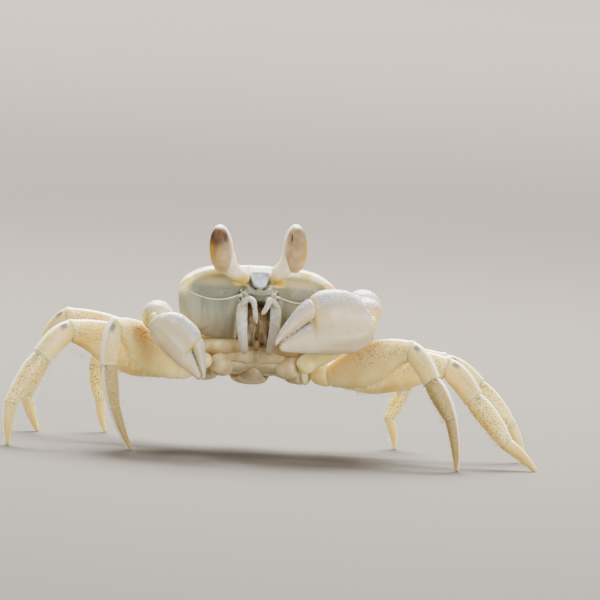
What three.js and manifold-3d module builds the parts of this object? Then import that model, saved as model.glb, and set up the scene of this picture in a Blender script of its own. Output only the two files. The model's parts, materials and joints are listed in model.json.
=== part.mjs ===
// Ghost crab (Ocypode), a life-size still model standing on its eight walking legs.
// Millimetres, +Z up. The crab faces -Y, so its right side lies at -X.
// The origin is the middle of the bounding box, on the floor under the dactyl tips.
//
// The body is drawn in its own frame: X sideways, F forward and U up from the middle of
// the carapace, pitched nose-up. Limbs are rows of oval rings, each limb in one plane.

import * as THREE from 'three';
import Module from 'manifold-3d';
import { mergeVertices } from 'three/addons/utils/BufferGeometryUtils.js';

// Driving dimensions of the body
const carapaceHalfWidth = 9.8;      // at the outer corners of the orbits
const frontEdge = 7.4;              // F of the middle of the front margin
const cornerForward = 5.9;          // F of the outer corners
const rearEdge = -8.5;              // F of the rear margin
const rearNarrowing = 0.43;         // share of the width lost by the rear margin
const domeTop = 6.1;                // U of the highest point of the back
const domeForward = 1.0;            // F of that point
const frontDrop = 0.8;              // how far the back falls to the front margin
const rearDrop = 4.8;               // how far it falls to the rear margin
const sideDrop = 1.9;               // how far the back falls from its middle to its sides
const shellMiddleShare = 0.55;      // how far up a section its widest level lies
const shellDrawIn = 0.2;            // share of the half width lost by the lower edge
const shellBottom = -3.7;           // U of the lower edge of the flanks
const shellBottomRise = 2.4;        // how much higher that edge is at the rear margin
const bellyBottom = -7.3;           // U of the breastplate under the middle
const bodyHeight = 16.5;            // height of the body frame over the floor
const nosePitch = 12;               // degrees nose-up
const gap = 0.3;                    // clear space left between neighbouring pieces
const tipFlat = 0.3;                // half width of the flat under each dactyl tip
const leastReach = 0.35;            // no ring of a dactyl reaches less than this
const leastFingerThick = 0.55;      // and no ring of a claw is thinner than this
const hipToCoxa = 4.6;              // from each hip joint in to the middle of its coxa
const coxaToLeg = 2.32;             // from there out to the start of the leg

// Segment lengths of the four pairs of walking legs, front pair first, and the point
// on the crab's left where each merus starts
const pairs = [
  { merus: 12.6, carpus: 4.8, propodus: 5.5, dactyl: 6.3, hip: [9.8, -3.7, 10.1], stout: 1.0 },
  { merus: 15.3, carpus: 5.0, propodus: 7.0, dactyl: 5.1, hip: [10.1, -0.8, 10.05], stout: 1.05 },
  { merus: 14.7, carpus: 5.0, propodus: 6.5, dactyl: 4.8, hip: [9.8, 2.4, 10.15], stout: 0.95 },
  { merus: 10.9, carpus: 3.8, propodus: 4.6, dactyl: 4.0, hip: [8.6, 5.4, 9.95], stout: 0.72 },
];

// The stance: heading is degrees forward of straight sideways, and the pitches are of
// carpus, propodus and dactyl. The merus takes the pitch that sets the tip on the floor.
const stance = {
  right: [
    { heading: 45, pitches: [-81, -106, -122] },
    { heading: 26, pitches: [-42, -56, -89] },
    { heading: -20, pitches: [-57, -70, -112] },
    { heading: -35, pitches: [-61, -102, -106] },
  ],
  left: [
    { heading: 39, pitches: [-48, -54, -79] },
    { heading: 23, pitches: [-46, -48, -38] },
    { heading: 6, pitches: [-33, -47, -67] },
    { heading: -18, pitches: [-70, -115, -75] },
  ],
};

// The claws, in millimetres on the crab's left. The left claw is the large one.
const majorClaw = {
  root: [5.9, -6.4, 11.0], elbow: [12.2, -6.3, 16.4], carpusCentre: [13.1, -4.9, 18.6],
  wrist: [13.9, -9.3, 16.6], tip: [1.5, -12.8, 14.2],
  length: 1.0, height: 1.0, thick: 1.0, carpusRadius: 2.5, merusHeight: 3.4, merusThick: 2.5,
};
const minorClaw = {
  root: [5.9, -6.6, 11.0], elbow: [10.9, -9.0, 14.8], carpusCentre: [12.6, -9.95, 16.75],
  wrist: [13.25, -13.3, 16.6], tip: [7.2, -14.9, 10.2],
  length: 0.76, height: 0.62, thick: 0.72, carpusRadius: 2.1, merusHeight: 2.6, merusThick: 2.0,
};

// The eyes, held up and not quite alike. lean is the degrees that the top leans outward,
// and neck is the way of the stalk out of the orbit and up the inner side of the cornea.
const eyeHalf = [1.3, 1.35, 2.95];
const eyes = {
  right: {
    centre: [-5.2, -8.5, 25.35],
    lean: 9,
    neck: [[-2.1, -7.0, 21.6], [-2.8, -7.75, 22.35], [-3.6, -8.3, 23.2], [-4.2, -8.5, 24.6],
      [-4.6, -8.5, 26.4], [-4.95, -8.5, 28.1]],
  },
  left: {
    centre: [4.15, -8.5, 25.85],
    lean: 1,
    neck: [[2.1, -7.0, 21.8], [2.55, -7.75, 22.7], [3.1, -8.3, 23.7], [3.3, -8.5, 25.1],
      [3.4, -8.5, 26.9], [3.85, -8.5, 28.6]],
  },
};
const neckThick = [1.0, 1.7, 2.1, 2.0, 1.7, 1.2];

const wasm = await Module();
wasm.setup();

function finish(colour, roughness) {
  return new THREE.MeshStandardMaterial({ color: colour, roughness, metalness: 0 });
}

const radians = THREE.MathUtils.degToRad;
const mix = THREE.MathUtils.lerp;
const clamp01 = (value) => THREE.MathUtils.clamp(value, 0, 1);
const point = (values) => new THREE.Vector3(...values);
const power = (value, exponent) => Math.sign(value) * Math.abs(value) ** exponent;

// A point of the body frame in the model's frame
function body(x, forward, up) {
  const pitch = radians(nosePitch);
  const y = -forward * Math.cos(pitch) + up * Math.sin(pitch);
  const z = bodyHeight + forward * Math.sin(pitch) + up * Math.cos(pitch);
  return new THREE.Vector3(x, y, z);
}

// ---------------------------------------------------------------- solids

// A closed body through a row of rings that all have the same number of points, capped
// by a fan at each end
function loft(rings) {
  const count = rings[0].length;
  const points = rings.flat();
  const faces = [];
  for (let row = 0; row + 1 < rings.length; row += 1) {
    for (let i = 0; i < count; i += 1) {
      const a = row * count + i;
      const b = row * count + (i + 1) % count;
      faces.push(a, b, b + count, a, b + count, a + count);
    }
  }
  for (const [row, turn] of [[0, 1], [rings.length - 1, 0]]) {
    const hub = points.length;
    points.push(middle(rings[row]));
    for (let i = 0; i < count; i += 1) {
      const a = row * count + i;
      const b = row * count + (i + 1) % count;
      faces.push(hub, turn ? b : a, turn ? a : b);
    }
  }
  return closedGeometry(points, faces);
}

function middle(ring) {
  const sum = new THREE.Vector3();
  for (const corner of ring) sum.add(corner);
  return sum.divideScalar(ring.length);
}

// Makes the geometry, with its faces turned outward whichever way the rings ran
function closedGeometry(points, faces) {
  let volume = 0;
  for (let i = 0; i < faces.length; i += 3) {
    const [a, b, c] = faces.slice(i, i + 3).map((index) => points[index]);
    volume += a.dot(b.clone().cross(c));
  }
  if (volume < 0) {
    for (let i = 0; i < faces.length; i += 3) {
      [faces[i + 1], faces[i + 2]] = [faces[i + 2], faces[i + 1]];
    }
  }
  const geometry = new THREE.BufferGeometry();
  geometry.setAttribute('position', new THREE.Float32BufferAttribute(
    points.flatMap((p) => [p.x, p.y, p.z]), 3));
  geometry.setIndex(faces);
  return geometry;
}

function toManifold(source) {
  const bare = new THREE.BufferGeometry();
  bare.setAttribute('position', source.getAttribute('position'));
  if (source.index) bare.setIndex(source.index);
  const merged = mergeVertices(bare, 1e-4);
  return new wasm.Manifold(new wasm.Mesh({
    numProp: 3,
    vertProperties: new Float32Array(merged.getAttribute('position').array),
    triVerts: new Uint32Array(merged.index.array),
  }));
}

function fromManifold(solid) {
  const mesh = solid.getMesh();
  const geometry = new THREE.BufferGeometry();
  geometry.setAttribute('position', new THREE.Float32BufferAttribute(mesh.vertProperties, 3));
  geometry.setIndex([...mesh.triVerts]);
  return geometry;
}

// An oval ball: centre, half sizes along the model's axes, and a turn about Y in degrees
function ball(centre, half, lean = 0, detail = 12) {
  const geometry = new THREE.SphereGeometry(1, detail, Math.round(detail * 0.75));
  const turn = new THREE.Matrix4().makeRotationY(radians(lean));
  const pole = new THREE.Matrix4().makeRotationX(Math.PI / 2);
  geometry.applyMatrix4(pole);
  geometry.scale(...half);
  geometry.applyMatrix4(turn);
  geometry.translate(...centre);
  return geometry;
}

// The same ball set in the body frame
function bodyBall(centre, half, detail = 16) {
  const geometry = ball([0, 0, 0], half, 0, detail);
  geometry.rotateX(-radians(nosePitch));
  const place = body(...centre);
  geometry.translate(place.x, place.y, place.z);
  return geometry;
}

// One oval ring. across is the limb's sideways direction and the ring stands square to
// normal; above and below are its reach from the centre, thick its full width.
function oval(centre, normal, across, above, below, thick, count = 10) {
  const rise = normal.clone().cross(across).normalize();
  const ring = [];
  for (let i = 0; i < count; i += 1) {
    const angle = (i / count) * 2 * Math.PI;
    const reach = Math.sin(angle) > 0 ? above : below;
    ring.push(centre.clone()
      .addScaledVector(across, 0.5 * thick * Math.cos(angle))
      .addScaledVector(rise, reach * Math.sin(angle)));
  }
  return ring;
}

// The rings of one limb segment between two joints. Its end rings lie in the planes that
// halve each joint, each half a gap short, and the rings between turn square to it.
// sections are [place 0..1, above, below, thick]; bow lifts the middle.
function segmentRings({ from, to, startNormal, endNormal, across, sections, bow = 0, count }) {
  const along = to.clone().sub(from);
  const direction = along.clone().normalize();
  const rise = direction.clone().cross(across).normalize();
  const turnShare = 0.4;
  return sections.map(([place, above, below, thick]) => {
    const nearStart = clamp01(1 - place / turnShare);
    const nearEnd = clamp01(1 - (1 - place) / turnShare);
    const normal = direction.clone()
      .addScaledVector(startNormal.clone().sub(direction), nearStart)
      .addScaledVector(endNormal.clone().sub(direction), nearEnd)
      .normalize();
    const centre = from.clone().addScaledVector(along, place)
      .addScaledVector(rise, bow * Math.sin(Math.PI * place));
    if (place === 0) centre.addScaledVector(startNormal, gap / 2);
    if (place === 1) centre.addScaledVector(endNormal, -gap / 2);
    return oval(centre, normal, across, above, below, thick, count);
  });
}

// Round rings along a path of points. sideways gives each ring's across from its run.
function pathRings(points, reaches, sideways, count) {
  return points.map((centre, index) => {
    const before = points[Math.max(0, index - 1)];
    const after = points[Math.min(points.length - 1, index + 1)];
    const run = after.clone().sub(before).normalize();
    const reach = reaches[index];
    return oval(centre, run, sideways(run), reach, reach, 2 * reach, count);
  });
}

// Across for a path that stays in a plane facing forward
function acrossForward(run) {
  return new THREE.Vector3(0, 1, 0).cross(run).normalize();
}

// Rows of [place, above, below, thick] with the reaches made larger or smaller
function resized(rows, size, least = 0) {
  return rows.map(([place, ...reach]) => [
    place, ...reach.map((value) => Math.max(value * size, least))]);
}

function halfway(first, second) {
  return first.clone().add(second).normalize();
}

// ---------------------------------------------------------------- body

// Half width of the carapace at a distance forward
function halfWidthAt(forward) {
  const behind = clamp01((cornerForward - forward) / (cornerForward - rearEdge));
  return carapaceHalfWidth * (1 - rearNarrowing * behind ** 2.6);
}

// Height of the back along its middle line
function backAt(forward) {
  const ahead = forward > domeForward;
  const reach = ahead ? frontEdge - domeForward : domeForward - rearEdge;
  const share = Math.abs(forward - domeForward) / reach;
  return domeTop - (ahead ? frontDrop : rearDrop) * share ** 2;
}

// Height of the lower edge of the shell, which rises behind
function underAt(forward) {
  return shellBottom + shellBottomRise * clamp01(forward / rearEdge) ** 2;
}

// A cross section of the shell: flattened top, upright flanks, drawn in below
function shellSection(forward, swell) {
  const count = 44;
  const half = halfWidthAt(forward);
  const top = backAt(forward);
  const bottom = underAt(forward);
  const middleUp = mix(bottom, top, shellMiddleShare);
  const ring = [];
  for (let i = 0; i < count; i += 1) {
    const angle = (i / count) * 2 * Math.PI;
    const square = Math.sin(angle) > 0 ? 0.26 : 0.5;
    const rise = power(Math.sin(angle), square);
    const wide = power(Math.cos(angle), square) * half * swell;
    const aside = Math.abs(wide) / carapaceHalfWidth;
    const reach = rise > 0 ? top - sideDrop * aside ** 4 - middleUp : middleUp - bottom;
    const narrowing = rise > 0 ? 1 : 1 - shellDrawIn * rise * rise;
    const sweep = clamp01((forward - domeForward) / (frontEdge - domeForward));
    const back = (frontEdge - cornerForward) * aside ** 2 * sweep;
    ring.push(body(wide * narrowing, forward - back, middleUp + rise * reach * swell));
  }
  return ring;
}

function carapaceSolid() {
  const rings = [];
  const stations = [
    [rearEdge - 0.5, 0.78], [rearEdge, 0.96], [-7.4, 1], [-6, 1], [-4, 1], [-2, 1],
    [0, 1], [2, 1], [4, 1], [5.6, 1], [6.8, 1], [7.3, 0.97], [7.6, 0.9],
  ];
  for (const [forward, swell] of stations) rings.push(shellSection(forward, swell));
  let solid = toManifold(loft(rings));
  for (const side of [-1, 1]) {
    solid = solid.subtract(toManifold(bodyBall([side * 5.3, 7.6, 2.75], [3.55, 2.5, 1.7], 16)));
    solid = solid.subtract(toManifold(bodyBall([side * 2.3, 7.9, 3.65], [1.45, 2.2, 1.95], 12)));
  }
  solid = solid.subtract(toManifold(mouthHollow()));
  solid = solid.add(toManifold(rostrumLobe()));
  return fromManifold(solid);
}

// The mouth is open: a rectangular hollow between the maxillipeds
function mouthHollow() {
  const geometry = new THREE.BoxGeometry(5.6, 4.4, 6.2);
  geometry.rotateX(-radians(nosePitch));
  const place = body(0, 8.0, -2.5);
  geometry.translate(place.x, place.y, place.z);
  return geometry;
}

// The front between the eyes, a narrow lobe bent down over the antennules
function rostrumLobe() {
  const rings = [];
  const rows = [[6.6, 5.3, 1.9, 0.5], [7.6, 5.0, 1.6, 0.5], [8.1, 4.2, 1.35, 0.45],
    [8.35, 3.3, 1.15, 0.4], [8.3, 2.7, 0.7, 0.3]];
  for (const [forward, up, half, deep] of rows) {
    const ring = [];
    for (let i = 0; i < 12; i += 1) {
      const angle = (i / 12) * 2 * Math.PI;
      ring.push(body(half * Math.cos(angle), forward + deep * Math.sin(angle) * 0.6,
        up + deep * Math.sin(angle)));
    }
    rings.push(ring);
  }
  return loft(rings);
}

// The breastplate, with the coxa of every leg and claw standing out at its sides
function sternumSolid() {
  const rings = [];
  const top = shellBottom - gap;
  for (const [forward, half, rise] of [[6.2, 2.2, 1.9], [5.4, 3.6, 0.8], [3, 4.9, 0.1],
    [0, 5.4, 0], [-3, 4.9, 0.45], [-5.4, 3.7, 1.1], [-6.4, 2.4, 1.5]]) {
    const bottom = bellyBottom + rise;
    const middleUp = mix(bottom, top, 0.5) + 0.3 * clamp01(forward / rearEdge);
    const tall = 0.5 * (top - bottom);
    const ring = [];
    for (let i = 0; i < 16; i += 1) {
      const angle = (i / 16) * 2 * Math.PI;
      ring.push(body(power(Math.cos(angle), 0.6) * half, forward,
        middleUp + power(Math.sin(angle), 0.6) * tall));
    }
    rings.push(ring);
  }
  let solid = toManifold(loft(rings));
  for (const side of [-1, 1]) {
    for (const pair of pairs) {
      const coxa = coxaCentre(pair.hip, side);
      const size = 1.5 * pair.stout;
      solid = solid.add(toManifold(ball(coxa.toArray(), [1.75, 1.25, size], side * -20, 8)));
    }
    solid = solid.add(toManifold(ball([side * 3.6, -4.7, 10.7], [1.7, 1.5, 1.6], 0, 8)));
  }
  return fromManifold(solid);
}

// Each coxa lies on the line from the middle of the belly to the hip
function coxaCentre(hip, side) {
  const start = point([side * hip[0], hip[1], hip[2]]);
  const core = new THREE.Vector3(0, 1.6, hip[2] - 0.2);
  const line = core.sub(start).normalize();
  return start.addScaledVector(line, hipToCoxa);
}

// The abdomen, folded under the body from the rear margin forward
function abdomenSolid() {
  const rings = [];
  const path = [[-9.75, 0.1, 2.9], [-9.8, -1.8, 3.0], [-9.1, -3.9, 2.9], [-7.3, -6.4, 2.5],
    [-4.4, -8.0, 2.1], [-1.0, -8.3, 1.7], [2.2, -8.15, 1.0], [3.6, -8.0, 0.5]];
  const deep = 0.4;
  path.forEach(([forward, up, half], index) => {
    const before = path[Math.max(0, index - 1)];
    const after = path[Math.min(path.length - 1, index + 1)];
    const run = new THREE.Vector2(after[0] - before[0], after[1] - before[1]).normalize();
    const ring = [];
    for (let i = 0; i < 12; i += 1) {
      const angle = (i / 12) * 2 * Math.PI;
      const out = deep * Math.sin(angle);
      ring.push(body(half * Math.cos(angle), forward - run.y * out, up + run.x * out));
    }
    rings.push(ring);
  });
  return loft(rings);
}

// ---------------------------------------------------------------- head

// One outer mouthpart: a long plate beside the mouth and its palp, folded inward
function maxillipedSolid(side) {
  const across = new THREE.Vector3(1, 0, 0);
  const down = body(0, 0, -1).sub(body(0, 0, 0));
  const plate = [[0.6, 0.5, 0.75], [-0.4, 0.85, 1.1], [-2.2, 0.8, 1.25], [-4.0, 0.7, 1.1],
    [-4.9, 0.4, 0.7]].map(([up, reach, wide]) => oval(
    body(side * 2.0, 8.2, up), down, across, reach, reach, wide, 10));
  const tipUp = side < 0 ? -2.0 : -0.9;
  const palp = [[2.15, 8.5, 0.45, 0.62], [1.6, 9.1, 0.95, 0.6], [0.85, 9.35, 0.75, 0.56],
    [0.6, 9.3, -0.2, 0.52], [0.28, 9.0, tipUp, 0.5]];
  const path = palp.map(([x, forward, up]) => body(side * x, forward, up));
  const rings = pathRings(path, palp.map((row) => row[3] / 2), acrossForward, 8);
  return fromManifold(toManifold(loft(plate)).add(toManifold(loft(rings))));
}

// The cornea, most of the height of the eye
function corneaSolid(eye) {
  return ball(eye.centre, eyeHalf, eye.lean * Math.sign(eye.centre[0]), 14);
}

// The stalk, parted from the cornea by a thin cut
function eyestalkSolid(eye) {
  const reaches = neckThick.map((thick) => thick / 2);
  const rings = pathRings(eye.neck.map(point), reaches, acrossForward, 12);
  const clear = eyeHalf.map((half) => half + gap);
  const room = toManifold(ball(eye.centre, clear, eye.lean * Math.sign(eye.centre[0]), 14));
  return fromManifold(toManifold(loft(rings)).subtract(room));
}

// The short antenna beside the front lobe
function antennaSolid(side) {
  const path = [[2.2, 8.5, 1.7, 0.62], [2.7, 9.2, 1.8, 0.56], [3.3, 9.6, 2.1, 0.5],
    [3.9, 9.8, 2.6, 0.5]];
  const points = path.map(([x, forward, up]) => body(side * x, forward, up));
  const across = () => new THREE.Vector3(1, 0, 0);
  return loft(pathRings(points, path.map((row) => row[3] / 2), across, 8));
}

// ---------------------------------------------------------------- walking legs

// Every joint of one leg, and the sideways direction of the plane it bends in
function legPlan(pairIndex, side) {
  const pair = pairs[pairIndex];
  const { heading, pitches } = stance[side > 0 ? 'left' : 'right'][pairIndex];
  const out = new THREE.Vector3(side * Math.cos(radians(heading)), -Math.sin(radians(heading)), 0);
  const across = new THREE.Vector3(-out.y, out.x, 0);
  const aim = (angle) => out.clone().multiplyScalar(Math.cos(angle))
    .add(new THREE.Vector3(0, 0, Math.sin(angle)));
  const lengths = [pair.merus, pair.carpus, pair.propodus, pair.dactyl];
  const angles = pitches.map(radians);
  const drop = angles.reduce((sum, angle, index) => sum + lengths[index + 1] * Math.sin(angle), 0);
  angles.unshift(Math.asin((-pair.hip[2] - drop) / pair.merus));
  const joints = [point([side * pair.hip[0], pair.hip[1], pair.hip[2]])];
  const runs = angles.map(aim);
  runs.forEach((run, index) => {
    joints.push(joints[index].clone().addScaledVector(run, lengths[index]));
  });
  return { pair, joints, runs, across };
}

// Basis, ischium and merus in one piece: narrow at the hip joint, leaf-shaped beyond it
function merusSolid({ pair, joints, runs, across }, side) {
  const coxa = coxaCentre(pair.hip, side);
  const toHip = joints[0].clone().sub(coxa).normalize();
  const start = coxa.clone().addScaledVector(toHip, coxaToLeg);
  const turn = halfway(toHip, runs[0]);
  const waist = [1, 1.45, 1.5, 1.9];
  const stub = resized([[0, 1.15, 1.2, 1.7], [0.5, 1.5, 1.6, 2.1], waist], pair.stout)
    .map(([place, ...reach]) => oval(start.clone().lerp(joints[0], place),
      place < 1 ? toHip : turn, across, ...reach, 10));
  const leaf = [[0.14, 1.85, 2.2, 2.2], [0.36, 2.2, 3.0, 2.35], [0.6, 2.15, 2.75, 2.3],
    [0.8, 1.8, 2.0, 2.2], [1, 1.2, 1.4, 1.95]];
  const blade = segmentRings({
    from: joints[0],
    to: joints[1],
    startNormal: turn,
    endNormal: halfway(runs[0], runs[1]),
    across,
    sections: resized(leaf, pair.stout),
    bow: 0.35,
    count: 10,
  });
  return loft([...stub, ...blade]);
}

function carpusSolid({ pair, joints, runs, across }) {
  const rows = [[0, 1.05, 1.25, 1.75], [0.35, 1.35, 1.4, 2.0], [0.7, 1.25, 1.35, 1.9],
    [1, 1.15, 1.15, 1.75]];
  return loft(segmentRings({
    from: joints[1],
    to: joints[2],
    startNormal: halfway(runs[0], runs[1]),
    endNormal: halfway(runs[1], runs[2]),
    across,
    sections: resized(rows, pair.stout),
    bow: 0.3,
    count: 10,
  }));
}

function propodusSolid({ pair, joints, runs, across }) {
  const rows = [[0, 1.15, 1.15, 1.7], [0.3, 1.3, 1.25, 1.65], [0.7, 1.1, 1.1, 1.4],
    [1, 0.78, 0.78, 1.15]];
  return loft(segmentRings({
    from: joints[2],
    to: joints[3],
    startNormal: halfway(runs[1], runs[2]),
    endNormal: halfway(runs[2], runs[3]),
    across,
    sections: resized(rows, pair.stout),
    bow: 0.15,
    count: 10,
  }));
}

// The dactyl tapers to a small level flat on the floor
function dactylSolid({ pair, joints, runs, across }) {
  const rows = [[0, 0.72, 0.72, 1.1], [0.3, 0.68, 0.66, 0.95], [0.65, 0.5, 0.5, 0.75]];
  const rings = segmentRings({
    from: joints[3],
    to: joints[4],
    startNormal: halfway(runs[2], runs[3]),
    endNormal: runs[3],
    across,
    sections: resized(rows, pair.stout, leastReach),
    bow: 0.2,
    count: 8,
  });
  const floorNormal = new THREE.Vector3(0, 0, -1);
  rings.push(oval(joints[4], floorNormal, across, tipFlat, tipFlat, 2 * tipFlat, 8));
  return loft(rings);
}

// ---------------------------------------------------------------- claws

// The claw's own frame: s from the wrist to the tip, h up, square to s
function clawFrame(claw, side) {
  const mirrored = ([x, y, z]) => new THREE.Vector3(side * x, y, z);
  const wrist = mirrored(claw.wrist);
  const along = mirrored(claw.tip).sub(wrist).normalize();
  const across = new THREE.Vector3(0, 0, 1).cross(along).normalize();
  const rise = along.clone().cross(across).normalize();
  const place = (s, h) => wrist.clone().addScaledVector(along, s * claw.length)
    .addScaledVector(rise, h * claw.height);
  return { along, across, place, mirrored };
}

// Rings across a claw piece: rows of [s, top, bottom, thick] in the large claw's size
function clawRings(claw, side, rows, count) {
  const { along, across, place } = clawFrame(claw, side);
  return rows.map(([s, top, bottom, thick]) => {
    const half = 0.5 * (top - bottom) * claw.height;
    return oval(place(s, 0.5 * (top + bottom)), along, across, half, half,
      Math.max(thick * claw.thick, leastFingerThick), count);
  });
}

// Palm and fixed finger
function palmSolid(claw, side) {
  const rows = [[-0.35, 0.9, -1.1, 1.5], [0.2, 2.5, -1.7, 2.6], [1.3, 4.2, -2.3, 3.5],
    [3.1, 5.2, -2.6, 4.1], [5.3, 5.55, -2.4, 4.2], [6.8, 5.25, -2.15, 3.9],
    [7.5, 4.6, -2.0, 3.5], [7.75, 2.0, -1.95, 3.1], [9.2, 1.3, -1.6, 2.4],
    [10.6, 0.6, -1.3, 1.7], [11.8, -0.05, -0.9, 0.9], [12.1, -0.3, -0.75, 0.6]];
  return loft(clawRings(claw, side, rows, 16));
}

// The finger that moves in life, hooked over the tip of the fixed one
function fingerSolid(claw, side) {
  const rows = [[8.1, 4.6, 2.3, 2.7], [9.0, 4.05, 1.95, 2.4], [10.1, 3.1, 1.45, 1.95],
    [11.2, 2.1, 0.95, 1.4], [12.1, 1.05, 0.35, 0.85], [12.6, 0.35, -0.25, 0.6]];
  return loft(clawRings(claw, side, rows, 12));
}

// The rounded wrist piece between merus and palm, cut flat where the palm meets it
function clawCarpusSolid(claw, side) {
  const { mirrored } = clawFrame(claw, side);
  const centre = mirrored(claw.carpusCentre);
  const run = new THREE.Vector3(0, -1, 0);
  const across = new THREE.Vector3(0, 0, 1).cross(run).normalize();
  const rings = [];
  const steps = 6;
  for (let i = 0; i <= steps; i += 1) {
    const share = 2 * (i / steps) - 1;
    const reach = claw.carpusRadius * Math.sqrt(Math.max(0.1, 1 - share ** 2));
    const place = centre.clone().addScaledVector(run, share * claw.carpusRadius);
    rings.push(oval(place, run, across, reach, reach, 2 * reach, 14));
  }
  return loft(rings);
}

// Ischium and merus of a claw, from under the mouth outward
function clawMerusSolid(claw, side) {
  const { mirrored } = clawFrame(claw, side);
  const start = mirrored(claw.root);
  const end = mirrored(claw.elbow);
  const run = end.clone().sub(start).normalize();
  const across = new THREE.Vector3(0, 0, 1).cross(run).normalize();
  const tall = claw.merusHeight / 2;
  const wide = claw.merusThick;
  const rows = [[0, 0.55, 0.7], [0.25, 0.75, 0.9], [0.55, 1, 1], [0.8, 1, 1], [0.94, 0.7, 0.8]];
  return loft(rows.map(([share, high, thick]) => oval(start.clone().lerp(end, share), run, across,
    tall * high, tall * high, wide * thick, 12)));
}

// ---------------------------------------------------------------- assembly

const shellMaterial = finish(0xd9d7c0, 0.45);
const bellyMaterial = finish(0xe6dfc2, 0.5);
const clawMaterial = finish(0xe9e4dc, 0.4);
const legMaterial = finish(0xdfc98c, 0.4);
const stalkMaterial = finish(0xd8c27a, 0.4);
const corneaMaterial = finish(0x8a6645, 0.15);
const mouthMaterial = finish(0xcfcabf, 0.5);

const crab = new THREE.Group();

function addPiece(name, geometry, material) {
  const mesh = new THREE.Mesh(geometry, material);
  mesh.name = name;
  crab.add(mesh);
}

addPiece('carapace', carapaceSolid(), shellMaterial);
addPiece('sternum', sternumSolid(), bellyMaterial);
addPiece('abdomen', abdomenSolid(), bellyMaterial);

for (const [name, side] of [['right', -1], ['left', 1]]) {
  addPiece(`maxilliped_${name}`, maxillipedSolid(side), mouthMaterial);
  addPiece(`eyestalk_${name}`, eyestalkSolid(eyes[name]), stalkMaterial);
  addPiece(`cornea_${name}`, corneaSolid(eyes[name]), corneaMaterial);
  addPiece(`antenna_${name}`, antennaSolid(side), stalkMaterial);
  const claw = side > 0 ? majorClaw : minorClaw;
  addPiece(`claw_merus_${name}`, clawMerusSolid(claw, side), legMaterial);
  addPiece(`claw_carpus_${name}`, clawCarpusSolid(claw, side), clawMaterial);
  addPiece(`claw_palm_${name}`, palmSolid(claw, side), clawMaterial);
  addPiece(`claw_finger_${name}`, fingerSolid(claw, side), clawMaterial);
  pairs.forEach((pair, index) => {
    const plan = legPlan(index, side);
    const leg = `leg${index + 1}`;
    addPiece(`${leg}_merus_${name}`, merusSolid(plan, side), legMaterial);
    addPiece(`${leg}_carpus_${name}`, carpusSolid(plan), legMaterial);
    addPiece(`${leg}_propodus_${name}`, propodusSolid(plan), legMaterial);
    addPiece(`${leg}_dactyl_${name}`, dactylSolid(plan), legMaterial);
  });
}

// The crab is moved so that the origin is under the middle of its bounding box
const bounds = new THREE.Box3().setFromObject(crab);
crab.position.set(
  -0.5 * (bounds.min.x + bounds.max.x),
  -0.5 * (bounds.min.y + bounds.max.y),
  0);

export default crab;
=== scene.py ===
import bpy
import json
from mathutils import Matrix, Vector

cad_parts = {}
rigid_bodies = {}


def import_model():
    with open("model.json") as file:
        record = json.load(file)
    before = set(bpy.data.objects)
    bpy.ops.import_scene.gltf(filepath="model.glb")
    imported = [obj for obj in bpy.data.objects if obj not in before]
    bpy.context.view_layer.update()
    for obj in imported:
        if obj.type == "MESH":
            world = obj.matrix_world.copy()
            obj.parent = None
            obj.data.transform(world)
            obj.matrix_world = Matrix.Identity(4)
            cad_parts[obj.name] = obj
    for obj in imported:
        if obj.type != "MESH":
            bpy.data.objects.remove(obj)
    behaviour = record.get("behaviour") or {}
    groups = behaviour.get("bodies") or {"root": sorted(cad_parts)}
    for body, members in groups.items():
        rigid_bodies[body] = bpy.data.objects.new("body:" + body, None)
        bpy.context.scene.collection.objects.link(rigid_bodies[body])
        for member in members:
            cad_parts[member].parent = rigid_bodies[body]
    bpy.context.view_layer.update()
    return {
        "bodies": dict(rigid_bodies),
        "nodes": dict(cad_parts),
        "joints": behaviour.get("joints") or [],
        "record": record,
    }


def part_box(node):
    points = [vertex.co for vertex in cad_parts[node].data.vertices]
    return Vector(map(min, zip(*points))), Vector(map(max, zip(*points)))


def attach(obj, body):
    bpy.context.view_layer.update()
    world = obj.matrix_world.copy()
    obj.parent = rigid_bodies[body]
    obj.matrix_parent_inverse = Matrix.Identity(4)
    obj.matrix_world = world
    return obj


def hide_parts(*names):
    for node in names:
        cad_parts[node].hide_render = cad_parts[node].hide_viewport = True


bl_info = {
    "name": "Ghost Crab",
    "version": (1, 0, 0),
    "blender": (4, 5, 0),
    "location": "3D View > Sidebar > Ghost Crab",
    "description": "Models a life-size ghost crab standing on its walking legs",
    "category": "Add Mesh",
}

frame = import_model()

import json
import math

import bmesh
import bpy
import numpy as np
from bpy.props import FloatProperty, FloatVectorProperty, IntProperty, PointerProperty
from mathutils import Matrix, Vector, noise

MM = 0.001

# The body's own frame: X sideways, F forward, U up from the middle of the carapace,
# pitched nose-up. All shapes below are worked out in millimetres.
BODY_HEIGHT = 16.5
NOSE_PITCH = math.radians(12)
GAP = 0.3

# Segment lengths of the walking legs, front pair first, and where each merus starts
PAIRS = [
    dict(lengths=(12.6, 4.8, 5.5, 6.3), hip=(9.8, -3.7, 10.1), stout=1.0),
    dict(lengths=(15.3, 5.0, 7.0, 5.1), hip=(10.1, -0.8, 10.05), stout=1.05),
    dict(lengths=(14.7, 5.0, 6.5, 4.8), hip=(9.8, 2.4, 10.15), stout=0.95),
    dict(lengths=(10.9, 3.8, 4.6, 4.0), hip=(8.6, 5.4, 9.95), stout=0.72),
]

# Heading forward of straight sideways, then the pitches of carpus, propodus and dactyl
STANCE = {
    "right": [(45, (-81, -106, -122)), (26, (-42, -56, -89)),
              (-20, (-57, -70, -112)), (-35, (-61, -102, -106))],
    "left": [(39, (-48, -54, -79)), (23, (-46, -48, -38)),
             (6, (-33, -47, -67)), (-18, (-70, -115, -75))],
}

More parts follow.
